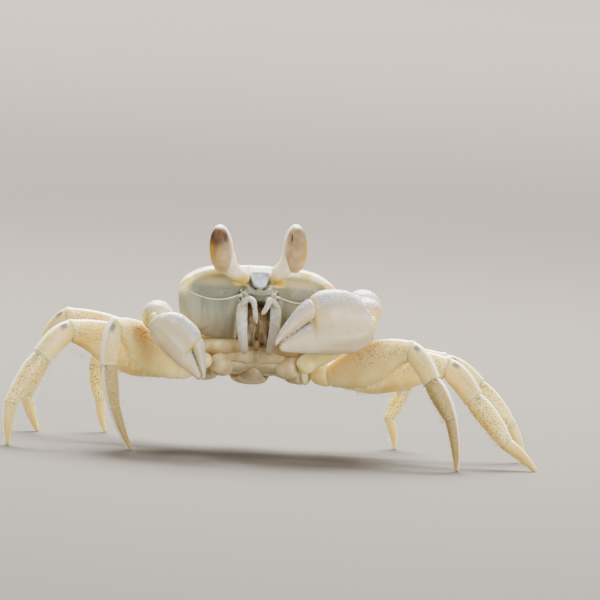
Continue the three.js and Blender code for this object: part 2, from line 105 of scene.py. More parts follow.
CLAWS = {
    "left": dict(root=(5.9, -6.4, 11.0), elbow=(12.2, -6.3, 16.4), carpus=(13.1, -4.9, 18.6),
                 wrist=(13.9, -9.3, 16.6), tip=(1.5, -12.8, 14.2), length=1.0, height=1.0,
                 thick=1.0, carpus_radius=2.5, merus_height=3.4, merus_thick=2.5),
    "right": dict(root=(5.9, -6.6, 11.0), elbow=(10.9, -9.0, 14.8), carpus=(12.6, -9.95, 16.75),
                  wrist=(13.25, -13.3, 16.6), tip=(7.2, -14.9, 10.2), length=0.76, height=0.62,
                  thick=0.72, carpus_radius=2.1, merus_height=2.6, merus_thick=2.0),
}

EYES = {
    "right": dict(centre=(-5.2, -8.5, 25.35), lean=9),
    "left": dict(centre=(4.15, -8.5, 25.85), lean=1),
}
EYE_HALF = (1.3, 1.35, 2.95)

SIDES = {"right": -1, "left": 1}


# ---------------------------------------------------------------- small helpers

def hex_colour(text):
    """An sRGB hex value as linear red, green, blue and alpha."""
    parts = [int(text[i:i + 2], 16) / 255 for i in (1, 3, 5)]
    linear = [c / 12.92 if c <= 0.04045 else ((c + 0.055) / 1.055) ** 2.4 for c in parts]
    return (*linear, 1.0)


def ramp(value, low, high):
    """A smooth step from 0 at low to 1 at high."""
    share = np.clip((np.asarray(value, float) - low) / (high - low), 0, 1)
    return share * share * (3 - 2 * share)


def bump(value, centre, width):
    """A rounded hill, 1 at its centre."""
    return np.exp(-((np.asarray(value, float) - centre) / width) ** 2)


def unit(vectors):
    """Vectors scaled to length 1."""
    vectors = np.asarray(vectors, float)
    return vectors / np.maximum(np.linalg.norm(vectors, axis=-1, keepdims=True), 1e-12)


def smooth_rows(rows, where):
    """Rows of (place, values...) read at many places along smooth curves."""
    rows = np.asarray(rows, float)
    place, values = rows[:, 0], rows[:, 1:]
    slopes = np.diff(values, axis=0) / np.diff(place)[:, None]
    lean = np.zeros_like(values)
    lean[0], lean[-1] = slopes[0], slopes[-1]
    for k in range(1, len(place) - 1):
        before, after = slopes[k - 1], slopes[k]
        same = before * after > 0
        lean[k] = np.where(same, 2 * before * after / np.where(same, before + after, 1), 0)
    i = np.clip(np.searchsorted(place, where, side="right") - 1, 0, len(place) - 2)
    step = (place[i + 1] - place[i])[:, None]
    t = np.clip((where - place[i])[:, None] / step, 0, 1)
    return (values[i] * (1 + 2 * t) * (1 - t) ** 2 + values[i + 1] * t * t * (3 - 2 * t)
            + step * (lean[i] * t * (1 - t) ** 2 - lean[i + 1] * t * t * (1 - t)))


def body(x, forward, up):
    """Points of the body's frame in the model's frame."""
    x, forward, up = np.broadcast_arrays(*(np.asarray(v, float) for v in (x, forward, up)))
    c, s = math.cos(NOSE_PITCH), math.sin(NOSE_PITCH)
    return np.stack([x, -forward * c + up * s, BODY_HEIGHT + forward * s + up * c], axis=-1)


def node_shift():
    """How far the solids were moved to bring the origin under the middle of the box."""
    low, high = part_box("cornea_left")
    middle = [(a + b) / 2 / MM for a, b in zip(low, high)]
    return np.array([middle[0] - EYES["left"]["centre"][0],
                     middle[1] - EYES["left"]["centre"][1], 0.0])


SHIFT = node_shift()


def speckle(points, size):
    """Smooth noise between -1 and 1 at each point, with lumps of about the given size."""
    return np.array([noise.noise(Vector(p) / size) for p in points])


def granules(points, size):
    """Rounded grains: 1 at the middle of each, 0 between them."""
    near = np.array([noise.voronoi(Vector(p) / size)[0][0] for p in points])
    return np.clip(1 - 1.6 * near, 0, 1)


# ---------------------------------------------------------------- making pieces

def settle(bm, name, material, nodes, attributes=None, smooth=True):
    """Turns a finished bmesh, in millimetres, into a piece in metres that rides the crab."""
    mesh = bpy.data.meshes.new(name)
    bm.to_mesh(mesh)
    bm.free()
    count = len(mesh.vertices)
    for key, values in (attributes or {}).items():
        layer = mesh.attributes.new(key, "FLOAT_VECTOR", "POINT")
        layer.data.foreach_set("vector", np.asarray(values, float).reshape(count * 3))
    coords = read_points(mesh)
    write_points(mesh, (coords + SHIFT) * MM)
    mesh.polygons.foreach_set("use_smooth", [smooth] * len(mesh.polygons))
    mesh.materials.append(material)
    mesh.update()
    piece = bpy.data.objects.new(name, mesh)
    bpy.context.scene.collection.objects.link(piece)
    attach(piece, "root")
    if nodes:
        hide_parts(*nodes)
    return piece


def read_points(mesh):
    """A mesh's points, one to a row."""
    coords = np.empty(len(mesh.vertices) * 3)
    mesh.vertices.foreach_get("co", coords)
    return coords.reshape(-1, 3)


def write_points(mesh, coords):
    """Moves a mesh's points."""
    mesh.vertices.foreach_set("co", np.asarray(coords, float).reshape(-1))


def bm_points(bm):
    """A bmesh's points, one to a row."""
    return np.array([v.co[:] for v in bm.verts])


def move_points(bm, coords):
    """Moves a bmesh's points."""
    for vert, place in zip(bm.verts, coords.tolist()):
        vert.co = place


def round_skin(around, along, place):
    """A closed skin: a sphere whose points are moved to place(angle, share), where angle
    runs round the piece and share runs from its first end at 0 to its last at 1."""
    bm = bmesh.new()
    bmesh.ops.create_uvsphere(bm, u_segments=around, v_segments=along, radius=1)
    start = bm_points(bm)
    angle = np.arctan2(start[:, 1], start[:, 0])
    share = np.arccos(np.clip(start[:, 2], -1, 1)) / math.pi
    move_points(bm, place(angle, share))
    bmesh.ops.recalc_face_normals(bm, faces=bm.faces)
    return bm, angle, share


def stations_of(rings):
    """Rings of (centre, normal, across, above, below, thick) as rows along the limb."""
    rows, travelled = [], 0.0
    for k, (centre, normal, across, above, below, thick) in enumerate(rings):
        if k:
            travelled += float(np.linalg.norm(np.subtract(centre, rings[k - 1][0])))
        rows.append([travelled, *centre, *unit(normal), *unit(across), above, below, thick])
    return rows


def limb_skin(rings, around, along, ends=(0.4, 0.4), square=1.0, relief=None):
    """A limb piece through oval rings, rounded off over the given length at each end.
    Returns its bmesh and, at each point, (share along, rise, sideways)."""
    rows = stations_of(rings)
    length = rows[-1][0]
    marks = {}

    def place(angle, share):
        at = length * share
        values = smooth_rows(rows, at)
        centre, normal, across = values[:, 0:3], unit(values[:, 3:6]), unit(values[:, 6:9])
        rise = unit(np.cross(normal, across))
        near = np.minimum(at / ends[0], 1)
        far = np.minimum((length - at) / ends[1], 1)
        size = np.sqrt(np.clip(1 - (1 - near) ** 2, 0, 1) * np.clip(1 - (1 - far) ** 2, 0, 1))
        c, s = np.cos(angle), np.sin(angle)
        c = np.sign(c) * np.abs(c) ** square
        s = np.sign(s) * np.abs(s) ** square
        reach = np.where(s > 0, values[:, 9], values[:, 10])
        offset = (across * (0.5 * values[:, 11] * c)[:, None]
                  + rise * (reach * s)[:, None]) * size[:, None]
        points = centre + offset
        if relief is not None:
            points = points + unit(offset) * (relief(share, angle, points) * size)[:, None]
        marks["limb"] = np.stack([share, np.sin(angle), np.cos(angle)], axis=-1)
        return points

    bm, _, _ = round_skin(around, along, place)
    return bm, marks


def add_to(bm, other):
    """Adds another bmesh's faces to bm and frees it."""
    mesh = bpy.data.meshes.new("joining")
    other.to_mesh(mesh)
    other.free()
    bm.from_mesh(mesh)
    bpy.data.meshes.remove(mesh)


def melt(bm, grain, passes):
    """Joins overlapping closed bodies into one skin with faces of about the given size."""
    mesh = bpy.data.meshes.new("melting")
    bm.to_mesh(mesh)
    bm.free()
    holder = bpy.data.objects.new("melting", mesh)
    bpy.context.scene.collection.objects.link(holder)
    remesh = holder.modifiers.new("melt", "REMESH")
    remesh.mode = "VOXEL"
    remesh.voxel_size = grain
    made = holder.evaluated_get(bpy.context.evaluated_depsgraph_get())
    bm = bmesh.new()
    bm.from_mesh(made.to_mesh())
    made.to_mesh_clear()
    bpy.data.objects.remove(holder)
    bpy.data.meshes.remove(mesh)
    for _ in range(passes):
        bmesh.ops.smooth_vert(bm, verts=bm.verts, factor=0.5, use_axis_x=True, use_axis_y=True,
                              use_axis_z=True)
    return bm


def copies(template, count):
    """A bmesh that holds count copies of a small template, and the template's points."""
    mesh = bpy.data.meshes.new("copying")
    template.to_mesh(mesh)
    template.free()
    points = read_points(mesh).copy()
    bm = bmesh.new()
    for _ in range(count):
        bm.from_mesh(mesh)
    bpy.data.meshes.remove(mesh)
    return bm, points


def hair_template():
    """One hair of unit length along +Z: a slim three-sided cone with two joints in it."""
    bm = bmesh.new()
    bmesh.ops.create_circle(bm, cap_ends=True, radius=1, segments=3)
    edges = list(bm.edges)
    for height, radius in ((0.4, 0.8), (0.75, 0.5), (1.0, 0.08)):
        grown = bmesh.ops.extrude_edge_only(bm, edges=edges)["geom"]
        edges = [g for g in grown if isinstance(g, bmesh.types.BMEdge)]
        for vert in (g for g in grown if isinstance(g, bmesh.types.BMVert)):
            flat = Vector((vert.co.x, vert.co.y, 0)).normalized()
            vert.co = (flat.x * radius, flat.y * radius, height)
    bmesh.ops.edgeloop_fill(bm, edges=edges)
    bmesh.ops.recalc_face_normals(bm, faces=bm.faces)
    return bm


# Width of one bristle's patch on the map of the unwrapped skin
BRISTLE_PATCH = 0.003


def map_bristles(mesh, template, places):
    """Gives each bristle its own patch of the map, at its root's place on the unwrapped skin."""
    corners = np.empty(len(mesh.loops), dtype=np.int32)
    mesh.loops.foreach_get("vertex_index", corners)
    own = np.stack([0.5 * template[:, 0], 0.8 * template[:, 2] + 0.1 * template[:, 1]], axis=-1)
    spots = (places[:, None, :] + BRISTLE_PATCH * own[None, :, :]).reshape(-1, 2)
    layer = mesh.uv_layers.new(name="OFBake")
    layer.data.foreach_set("uv", spots[corners].reshape(-1))


def hairs(name, roots, directions, lengths, thickness, material, droop, places):
    """Bristles as solid meshes: each bends towards droop, most at its tip. places are the
    roots' places on the unwrapped skin."""
    count = len(roots)
    bm, template = copies(hair_template(), count)
    directions = unit(directions)
    lengths = np.asarray(lengths, float)
    helper = np.where(np.abs(directions[:, 2:3]) < 0.9, [[0.0, 0.0, 1.0]], [[1.0, 0.0, 0.0]])
    side = unit(np.cross(directions, helper))
    front = np.cross(directions, side)
    along = template[None, :, 2:3] * lengths[:, None, None]
    radius = thickness / 2
    points = (roots[:, None, :] + directions[:, None, :] * along
              + side[:, None, :] * template[None, :, 0:1] * radius
              + front[:, None, :] * template[None, :, 1:2] * radius
              + unit(droop)[:, None, :] * (template[None, :, 2:3] ** 2) * 0.12
              * lengths[:, None, None])
    move_points(bm, points.reshape(-1, 3))
    limb = np.tile(np.stack([template[:, 2]] * 3, axis=-1), (count, 1))
    piece = settle(bm, name, material, None, {"limb": limb}, smooth=False)
    map_bristles(piece.data, template, places)
    return piece


# ---------------------------------------------------------------- shapes of the body

HALF_WIDTH = 9.8
FRONT_EDGE = 7.4
CORNER_FORWARD = 5.9
REAR_EDGE = -8.5
REAR_NARROWING = 0.43
DOME_TOP = 6.1
DOME_FORWARD = 1.0
FRONT_DROP = 0.8
REAR_DROP = 4.8
SIDE_DROP = 1.9
SHELL_BOTTOM = -3.7
BELLY_BOTTOM = -7.3


def half_width_at(forward):
    """Half the shell's width, which narrows towards the rear."""
    behind = np.clip((CORNER_FORWARD - forward) / (CORNER_FORWARD - REAR_EDGE), 0, 1)
    return HALF_WIDTH * (1 - REAR_NARROWING * behind ** 2.6)


def back_at(forward):
    """Height of the back along the middle."""
    ahead = forward > DOME_FORWARD
    reach = np.where(ahead, FRONT_EDGE - DOME_FORWARD, DOME_FORWARD - REAR_EDGE)
    share = np.abs(forward - DOME_FORWARD) / reach
    return DOME_TOP - np.where(ahead, FRONT_DROP, REAR_DROP) * share ** 2


def under_at(forward):
    """Height of the shell's underside along the middle."""
    return SHELL_BOTTOM + 2.4 * np.clip(forward / REAR_EDGE, 0, 1) ** 2


def shell_outline(across, rise, forward, swell=1.0):
    """X and U on the shell's outline, or inside it, from its rounded-square coordinates."""
    top, bottom = back_at(forward), under_at(forward)
    middle = bottom + 0.55 * (top - bottom)
    x = across * half_width_at(forward) * swell
    aside = np.abs(x) / HALF_WIDTH
    up = np.where(rise > 0, middle + rise * (top - SIDE_DROP * aside ** 4 - middle) * swell,
                  middle + rise * (middle - bottom) * swell)
    x = x * np.where(rise < 0, 1 - 0.2 * rise * rise, 1)
    return x, up


def rounded_square(u, v):
    """Moves a square's points so that its edge becomes the outline of the shell."""
    power = np.where(v > 0, 7.7, 4.0)
    most = np.maximum(np.abs(u), np.abs(v))
    oval = (np.abs(u) ** power + np.abs(v) ** power) ** (1 / power)
    scale = np.where(oval > 0, most / np.maximum(oval, 1e-9), 1)
    return u * scale, v * scale


def front_at(x):
    """How far forward the plain front reaches."""
    return FRONT_EDGE - (FRONT_EDGE - CORNER_FORWARD) * (np.abs(x) / HALF_WIDTH) ** 2


def orbit_floor(ax):
    """Height of the lower margin of the orbit at a distance from the middle."""
    return 1.08 + 0.85 * ((ax - 5.2) / 3.2) ** 2


def face_relief(x, up, edge):
    """How far the face stands forward of a plain front, and the marks for its colours.
    edge is the distance in from the outline."""
    ax = np.abs(x)
    floor = orbit_floor(ax)
    roof = 4.75 - 0.045 * ax - 0.75 * ramp(ax, 6.4, 9.0)
    orbit = (ramp(up, floor - 0.02, floor + 0.5) * ramp(up, roof + 0.15, roof - 1.25)
             * ramp(ax, 9.0, 7.2) * ramp(ax, 1.35, 2.3))
    socket = bump(ax, 2.5, 1.0) * ramp(up, 2.6, 3.3) * ramp(up, 6.0, 5.2)
    depth = 1.45 * orbit ** 0.9 * (1 - 0.35 * ramp(up, floor + 0.3, roof - 0.3))
    depth = np.maximum(depth, 1.5 * socket)
    globe = bump(x, 4.25, 0.8) * bump(up, 2.05, 0.8) * orbit
    ridge = bump(up, floor - 0.02, 0.13) * ramp(ax, 2.3, 3.2) * ramp(ax, 8.9, 8.2)
    furrow = bump(up, floor - 0.55, 0.3) * ramp(ax, 2.5, 3.6) * ramp(ax, 8.9, 7.8)
    lobe_half = 0.85 + 0.62 * ramp(up, 2.9, 4.7)
    within = 1 - (ax / lobe_half) ** 2.6 - (np.clip(3.35 - up, 0, 9) / 0.72) ** 2.6
    lobe = ramp(within, -0.12, 0.3)
    blade = lobe * ramp(up, 4.75, 4.4)
    rim = bump(within, 0.1, 0.22) * ramp(up, 4.9, 4.5) + 0.7 * bump(up, 4.5, 0.14) * lobe
    trench = bump(within, -0.42, 0.3) * ramp(up, 2.5, 2.9) * ramp(up, 4.9, 4.4)
    pit = bump(ax, 0.55 + 0.35 * (up - 2.6), 0.17) * bump(up, 2.55, 0.12)
    plate = ramp(ax, 2.0, 1.5) * ramp(up, 1.2 + 0.5 * np.minimum(ax, 1.6), 1.9) * ramp(up, 2.75, 2.5)
    tip = ramp(0.95 - ax - 0.9 * (1.75 - up), -0.05, 0.2) * ramp(up, 0.85, 1.1) * ramp(up, 2.1, 1.8)
    crevice = (bump(ax, 1.65, 0.55) * bump(up, 0.85, 0.3)
               + 0.7 * bump(ax, 2.25, 0.16) * ramp(up, 0.8, 1.2) * ramp(up, 2.6, 2.1))
    bead = sum(bump(ax, bx, r) * bump(up, bu, r) for bx, bu, r in (
        (2.2, 2.45, 0.17), (2.08, 2.05, 0.16), (2.22, 1.68, 0.15), (2.1, 1.3, 0.14),
        (2.35, 1.02, 0.13)))
    mouth_half = 2.35 + 0.12 * ramp(up, 0, -3)
    mouth = ramp(mouth_half - ax, 0.0, 0.35) * ramp(up, 0.95 + 0.25 * ramp(ax, 0.1, 1.2), 0.55)
    frame = bump(ax, mouth_half + 0.2, 0.2) * ramp(up, 0.6, 0.1)
    swelling = bump(ax, 5.6, 2.7) * bump(up, -1.2, 1.9)
    seam = (seam_line(ax, up, (6.3, 0.2), (4.4, -3.9))
            + 0.6 * seam_line(ax, up, (4.9, -0.6), (3.9, -3.2)))
    corner = bump(ax, 9.35, 0.8) * bump(up, 3.4, 1.0)
    lean_back = 1.5 * ramp(up, 0.5, -3.9) ** 1.5
    radius = 0.45 + 0.75 * ramp(up, 3.6, 1.0)
    short = np.clip(radius - edge, 0, radius)
    rounding = radius - np.sqrt(np.maximum(radius ** 2 - short ** 2, 0))
    out = (-depth + 0.22 * ridge - 0.08 * furrow + 0.8 * lobe + 0.08 * rim - 0.2 * trench
           + 0.3 * globe - 0.35 * ramp(up, 4.5, 5.1) * ramp(ax, 2.6, 1.6)
           - 0.5 * pit - 0.2 * bump(ax, 0, 0.75) * bump(up, 3.9, 0.55) * lobe
           + 0.3 * plate + 0.3 * tip - 0.9 * crevice + 0.3 * bead - 2.1 * mouth + 0.25 * frame
           + 0.45 * swelling - 0.03 * seam + 0.55 * corner - lean_back - rounding)
    # Pale marks: the shell's own pale ridge, frame, beads, swelling and plate, and a painted highlight
    # along the rims of the front lobe
    pale = 0.8 * ridge + 0.6 * frame + bead + 0.5 * rim + 0.3 * globe + 0.35 * plate
    marks = {
        # zones: orbit, pale marks (partly painted highlight) and blade; shade_and_seams: brown of the
        # mouth that is partly painted shade, painted shade in the crevices, pits and trench, and the
        # face's seam lines
        "zones": np.stack([orbit, np.clip(pale, 0, 1), blade], axis=-1),
        "shade_and_seams": np.stack([mouth, np.clip(crevice + pit + 0.1 * trench - bead, 0, 1),
                            np.clip(seam, 0, 1)], axis=-1),
        "orbit": np.stack([ramp(up, floor, roof), socket,
                           ramp(up, 4.45, 4.7) * ramp(ax, 3.2, 2.0)], axis=-1),
    }
    return out, marks


def seam_line(x, up, start, end):
    """A thin line between two points of the face."""
    run = np.subtract(end, start)
    length = float(np.hypot(*run))
    t = np.clip(((x - start[0]) * run[0] + (up - start[1]) * run[1]) / length ** 2, 0, 1)
    away = np.hypot(x - start[0] - t * run[0], up - start[1] - t * run[1])
    return bump(away, 0, 0.22) * ramp(t, 0, 0.1) * ramp(t, 1.0, 0.85)


def back_relief(x, forward, up):
    """Grooves and grains of the back, outward in millimetres."""
    ax = np.abs(x)
    top = ramp(up, 2.0, 3.6)
    neck = bump(ax, 2.35 + 0.5 * bump(forward, -0.5, 1.6), 0.28) * bump(forward, -0.4, 2.4)
    bar = bump(forward, -1.5 + 0.05 * ax * ax, 0.3) * ramp(ax, 2.6, 1.6)
    gut = bump(forward, -5.4 - 0.04 * ax * ax, 0.3) * ramp(ax, 4.6, 3.4)
    arm = bump(forward, 3.6 - 0.45 * ax, 0.35) * ramp(ax, 2.6, 3.4) * ramp(ax, 8.2, 6.6)
    keel = bump(ax, 0.0, 0.18) * bump(forward, 4.3, 1.3)
    return -top * (0.2 * neck + 0.17 * bar + 0.12 * gut + 0.1 * arm + 0.08 * keel)


def make_carapace(material):
    """The carapace: a grid for the face and rings behind it, in one skin."""
    columns, rows = 176, 104
    bm = bmesh.new()
    bmesh.ops.create_grid(bm, x_segments=columns, y_segments=rows, size=1)
    for key in ("ring", "across", "rise"):
        bm.verts.layers.float.new(key)
    ring, across, rise = (bm.verts.layers.float[key] for key in ("ring", "across", "rise"))
    start = bm_points(bm)
    u, v = start[:, 0], start[:, 1]
    su, sv = rounded_square(u, v)
    for vert, a, b in zip(bm.verts, su.tolist(), sv.tolist()):
        vert[across] = a
        vert[rise] = b
    stations = [(6.75, 1.0), (6.55, 1.0), (6.3, 1.0)]
    stations += [(f, 1.0) for f in np.linspace(6.0, -7.6, 64)]
    stations += [(-8.0, 0.985), (-8.3, 0.95), (-8.55, 0.89), (-8.75, 0.8), (-8.85, 0.66),
                 (-8.9, 0.45), (-8.92, 0.2)]
    edges = [e for e in bm.edges if e.is_boundary]
    for k in range(1, len(stations) + 1):
        grown = bmesh.ops.extrude_edge_only(bm, edges=edges)["geom"]
        edges = [g for g in grown if isinstance(g, bmesh.types.BMEdge) and g.is_boundary]
        for item in grown:
            if isinstance(item, bmesh.types.BMVert):
                item[ring] = float(k)
    bmesh.ops.edgeloop_fill(bm, edges=edges)
    last = max(bm.faces, key=lambda face: len(face.verts))
    bmesh.ops.poke(bm, faces=[last])
    bm.verts.ensure_lookup_table()
    rings = np.array([int(vert[ring]) for vert in bm.verts])
    su = np.array([vert[across] for vert in bm.verts])
    sv = np.array([vert[rise] for vert in bm.verts])
    for key in ("ring", "across", "rise"):
        bm.verts.layers.float.remove(bm.verts.layers.float[key])
    su[-1] = sv[-1] = 0.0
    rings[-1] = len(stations)
    at = np.array([FRONT_EDGE] + [s[0] for s in stations])[rings]
    swell = np.array([1.0] + [s[1] for s in stations])[rings]
    x, up = shell_outline(su, sv, at, swell)
    # The face: each point's distance from the outline, by its place in the grid
    face = rings == 0
    edge = np.full(len(x), 0.0)
    edge[:len(start)] = (1 - np.maximum(np.abs(u), np.abs(v))) * np.where(
        np.abs(u) > np.abs(v), HALF_WIDTH, 4.6)
    plain = front_at(x)
    out, marks = face_relief(x, up, edge)
    boundary_out, _ = face_relief(x, up, np.zeros(len(x)))
    sweep = ramp(at, 1.0, FRONT_EDGE)
    behind = at - (FRONT_EDGE - CORNER_FORWARD) * (np.abs(x) / HALF_WIDTH) ** 2 * sweep
    # Behind the face, its mouth and corners fade out over the first rings
    fade = ramp(at, 3.0, 6.9)
    behind = behind + np.minimum(boundary_out + 0.45, 0.55) * fade * np.where(face, 0, 1)
    forward = np.where(face, plain + out, behind)
    grain = back_relief(x, forward, up)
    middle = 0.5 * (back_at(at) + under_at(at))
    away = unit(np.stack([x, up - middle], axis=-1))
    fine = 0.05 * speckle(np.stack([x, forward, up], axis=-1), 1.3)
    push = np.where(face, 0.0, grain + fine * ramp(-at, -6.0, -4.0))
    x = x + away[:, 0] * push
    up = up + away[:, 1] * push
    points = body(x, forward, up)
    move_points(bm, points)
    bmesh.ops.recalc_face_normals(bm, faces=bm.faces)
    ax = np.abs(x)
    upper = ramp(up - (back_at(at) - SIDE_DROP * (ax / HALF_WIDTH) ** 4), -1.5, -0.2)
    shoulder = bump(ax, 9.5, 1.1) * bump(up, 3.4, 1.7) * ramp(forward, 3.5, 5.2)
    rim = upper * ramp(forward, 3.2, 5.8) + shoulder
    attributes = {key: value * np.where(face, 1, 0)[:, None] for key, value in marks.items()}
    attributes["place"] = np.stack([np.clip(rim, 0, 1), ramp(up, -3.6, 3.6),
                                    np.where(face, 1.0, ramp(forward, 4.5, 6.2))], axis=-1)
    return settle(bm, "carapace_shell", material, ["carapace"], attributes)


def coxa_centre(hip, side):
    """The middle of a leg's coxa, inward of its hip."""
    start = np.array([side * hip[0], hip[1], hip[2]])
    line = unit(np.array([0, 1.6, hip[2] - 0.2]) - start)
    return start + line * 4.6


def make_breastplate(material):
    """The breastplate, the flank wall behind the legs and the coxae."""
    rows = [(6.35, 1.0, 2.7), (5.9, 1.9, 2.3), (5.0, 3.3, 1.2), (3, 4.9, 0.2), (0, 5.4, 0),
            (-3, 4.9, 0.45), (-5.4, 3.7, 1.1), (-6.4, 2.4, 1.5), (-6.7, 1.6, 1.7)]
    top = SHELL_BOTTOM - GAP
    marks = {}

    def place(angle, share):
        forward = 6.35 - share * 13.05
        order = np.array(rows)[::-1]
        values = smooth_rows(order, forward)
        half, bottom = values[:, 0], BELLY_BOTTOM + values[:, 1]
        ends = np.sqrt(np.clip(1 - (2 * share - 1) ** 12, 0, 1))
        c, s = np.cos(angle), np.sin(angle)
        x = np.sign(c) * np.abs(c) ** 0.6 * half * ends
        middle, tall = 0.5 * (top + bottom), 0.5 * (top - bottom)
        up = middle + np.sign(s) * np.abs(s) ** 0.6 * tall * ends
        under = ramp(-s, 0.1, 0.6)
        joints = sum(bump(forward + 0.12 * np.abs(x), f, 0.2) for f in (4.6, 2.3, 0.1, -2.1, -4.1))
        midline = bump(x, 0, 0.25)
        up = up + under * (0.28 * joints * ramp(np.abs(x), 0.9, 1.6) + 0.3 * midline)
        marks["limb"] = np.stack([share, s, np.clip(joints + midline, 0, 1)], axis=-1)
        return body(x, forward, up)

    bm, _, _ = round_skin(72, 150, place)
    pieces = [settle(bm, "sternum_shell", material, ["sternum"], marks)]
    rings = [(body(0, forward, -4.4), body(0, -1, 0) - body(0, 0, 0), (1.0, 0, 0), up, down, 2 * half)
             for forward, half, up, down in (
                 (6.2, 3.4, 0.5, 0.5), (5.4, 5.2, 0.9, 0.9), (3.0, 7.0, 1.3, 1.5), (0, 7.1, 1.5, 1.5),
                 (-3.5, 6.2, 1.8, 1.5), (-6.0, 4.6, 2.3, 1.5), (-7.3, 3.2, 2.6, 1.5))]
    bm, wall = limb_skin(rings, 72, 90, ends=(0.9, 0.9), square=0.75, relief=lambda share, angle, p: (
        -0.12 * sum(bump(share, at, 0.018) for at in (0.24, 0.4, 0.57, 0.74))))
    pieces.append(settle(bm, "flank_wall", material, None, wall))
    for name, side in SIDES.items():
        bm = bmesh.new()
        limb = []
        for pair in PAIRS:
            coxa = coxa_centre(pair["hip"], side)
            out = unit(np.array([side * pair["hip"][0], pair["hip"][1], pair["hip"][2]]) - coxa)
            size = pair["stout"]
            across = unit(np.cross([0, 0, 1.0], out))
            rings = [(coxa - out * 1.9, out, across, 0.9 * size, 0.9 * size, 1.5 * size),
                     (coxa - out * 0.6, out, across, 1.4 * size, 1.5 * size, 2.35 * size),
                     (coxa + out * 0.6, out, across, 1.55 * size, 1.6 * size, 2.45 * size),
                     (coxa + out * 1.75, out, across, 1.2 * size, 1.2 * size, 1.8 * size)]
            part, mark = limb_skin(rings, 28, 30, ends=(0.8, 0.5), relief=lambda share, angle, p: (
                0.1 * bump(share, 0.83, 0.05) - 0.12 * bump(share, 0.7, 0.05)))
            limb.append(mark["limb"])
            add_to(bm, part)
        root = np.array(CLAWS[name]["root"]) * (side, 1, 1)
        coxa = np.array([side * 3.4, -4.4, 10.8])
        out = unit(root - coxa)
        across = unit(np.cross([0, 0, 1.0], out))
        rings = [(coxa + out * step, out, across, above, below, thick)
                 for step, above, below, thick in ((-0.6, 1.2, 1.2, 2.2), (0.6, 1.45, 1.5, 2.6),
                                                   (1.6, 1.35, 1.35, 2.3), (2.5, 1.0, 1.0, 1.7))]
        part, mark = limb_skin(rings, 28, 30, ends=(0.8, 0.5))
        limb.append(mark["limb"])
        add_to(bm, part)
        pieces.append(settle(bm, f"coxae_{name}", material, None,
                             {"limb": np.concatenate(limb)}))
    return pieces


def make_abdomen(material):
    """The abdomen, folded forward under the body."""
    path = [(-7.4, -0.9, 2.7), (-8.0, -1.5, 2.9), (-8.3, -2.6, 3.4), (-8.15, -3.8, 3.5), (-7.6, -5.0, 3.2),
            (-6.5, -6.3, 2.7), (-4.4, -7.3, 2.15), (-1.0, -7.45, 1.6), (1.4, -7.15, 1.15),
            (2.5, -6.85, 0.8), (3.2, -6.5, 0.4)]
    rings = []
    for k, (forward, up, half) in enumerate(path):
        before, after = path[max(0, k - 1)], path[min(len(path) - 1, k + 1)]
        run = unit(body(0, after[0], after[1]) - body(0, before[0], before[1]))
        deep = 0.4 + 0.1 * half
        rings.append((body(0, forward, up), run, (1.0, 0, 0), deep, deep, 2 * half))

    def relief(share, angle, points):
        joints = sum(bump(share, at, 0.012) for at in (0.13, 0.26, 0.39, 0.52, 0.66, 0.82))
        return -0.14 * joints + 0.05 * np.abs(np.sin(angle)) * (1 - joints)

    bm, marks = limb_skin(rings, 56, 150, ends=(0.35, 0.9), square=0.9, relief=relief)
    return settle(bm, "abdomen_shell", material, ["abdomen"], marks)


# ---------------------------------------------------------------- shapes of the head

def path_rings(path, helper):
    """Round rings along a path of (point, above, below, thick)."""
    rings = []
    for k, (centre, above, below, thick) in enumerate(path):
        before, after = path[max(0, k - 1)][0], path[min(len(path) - 1, k + 1)][0]
        run = unit(np.subtract(after, before))
        rings.append((centre, run, unit(np.cross(helper, run)), above, below, thick))
    return rings


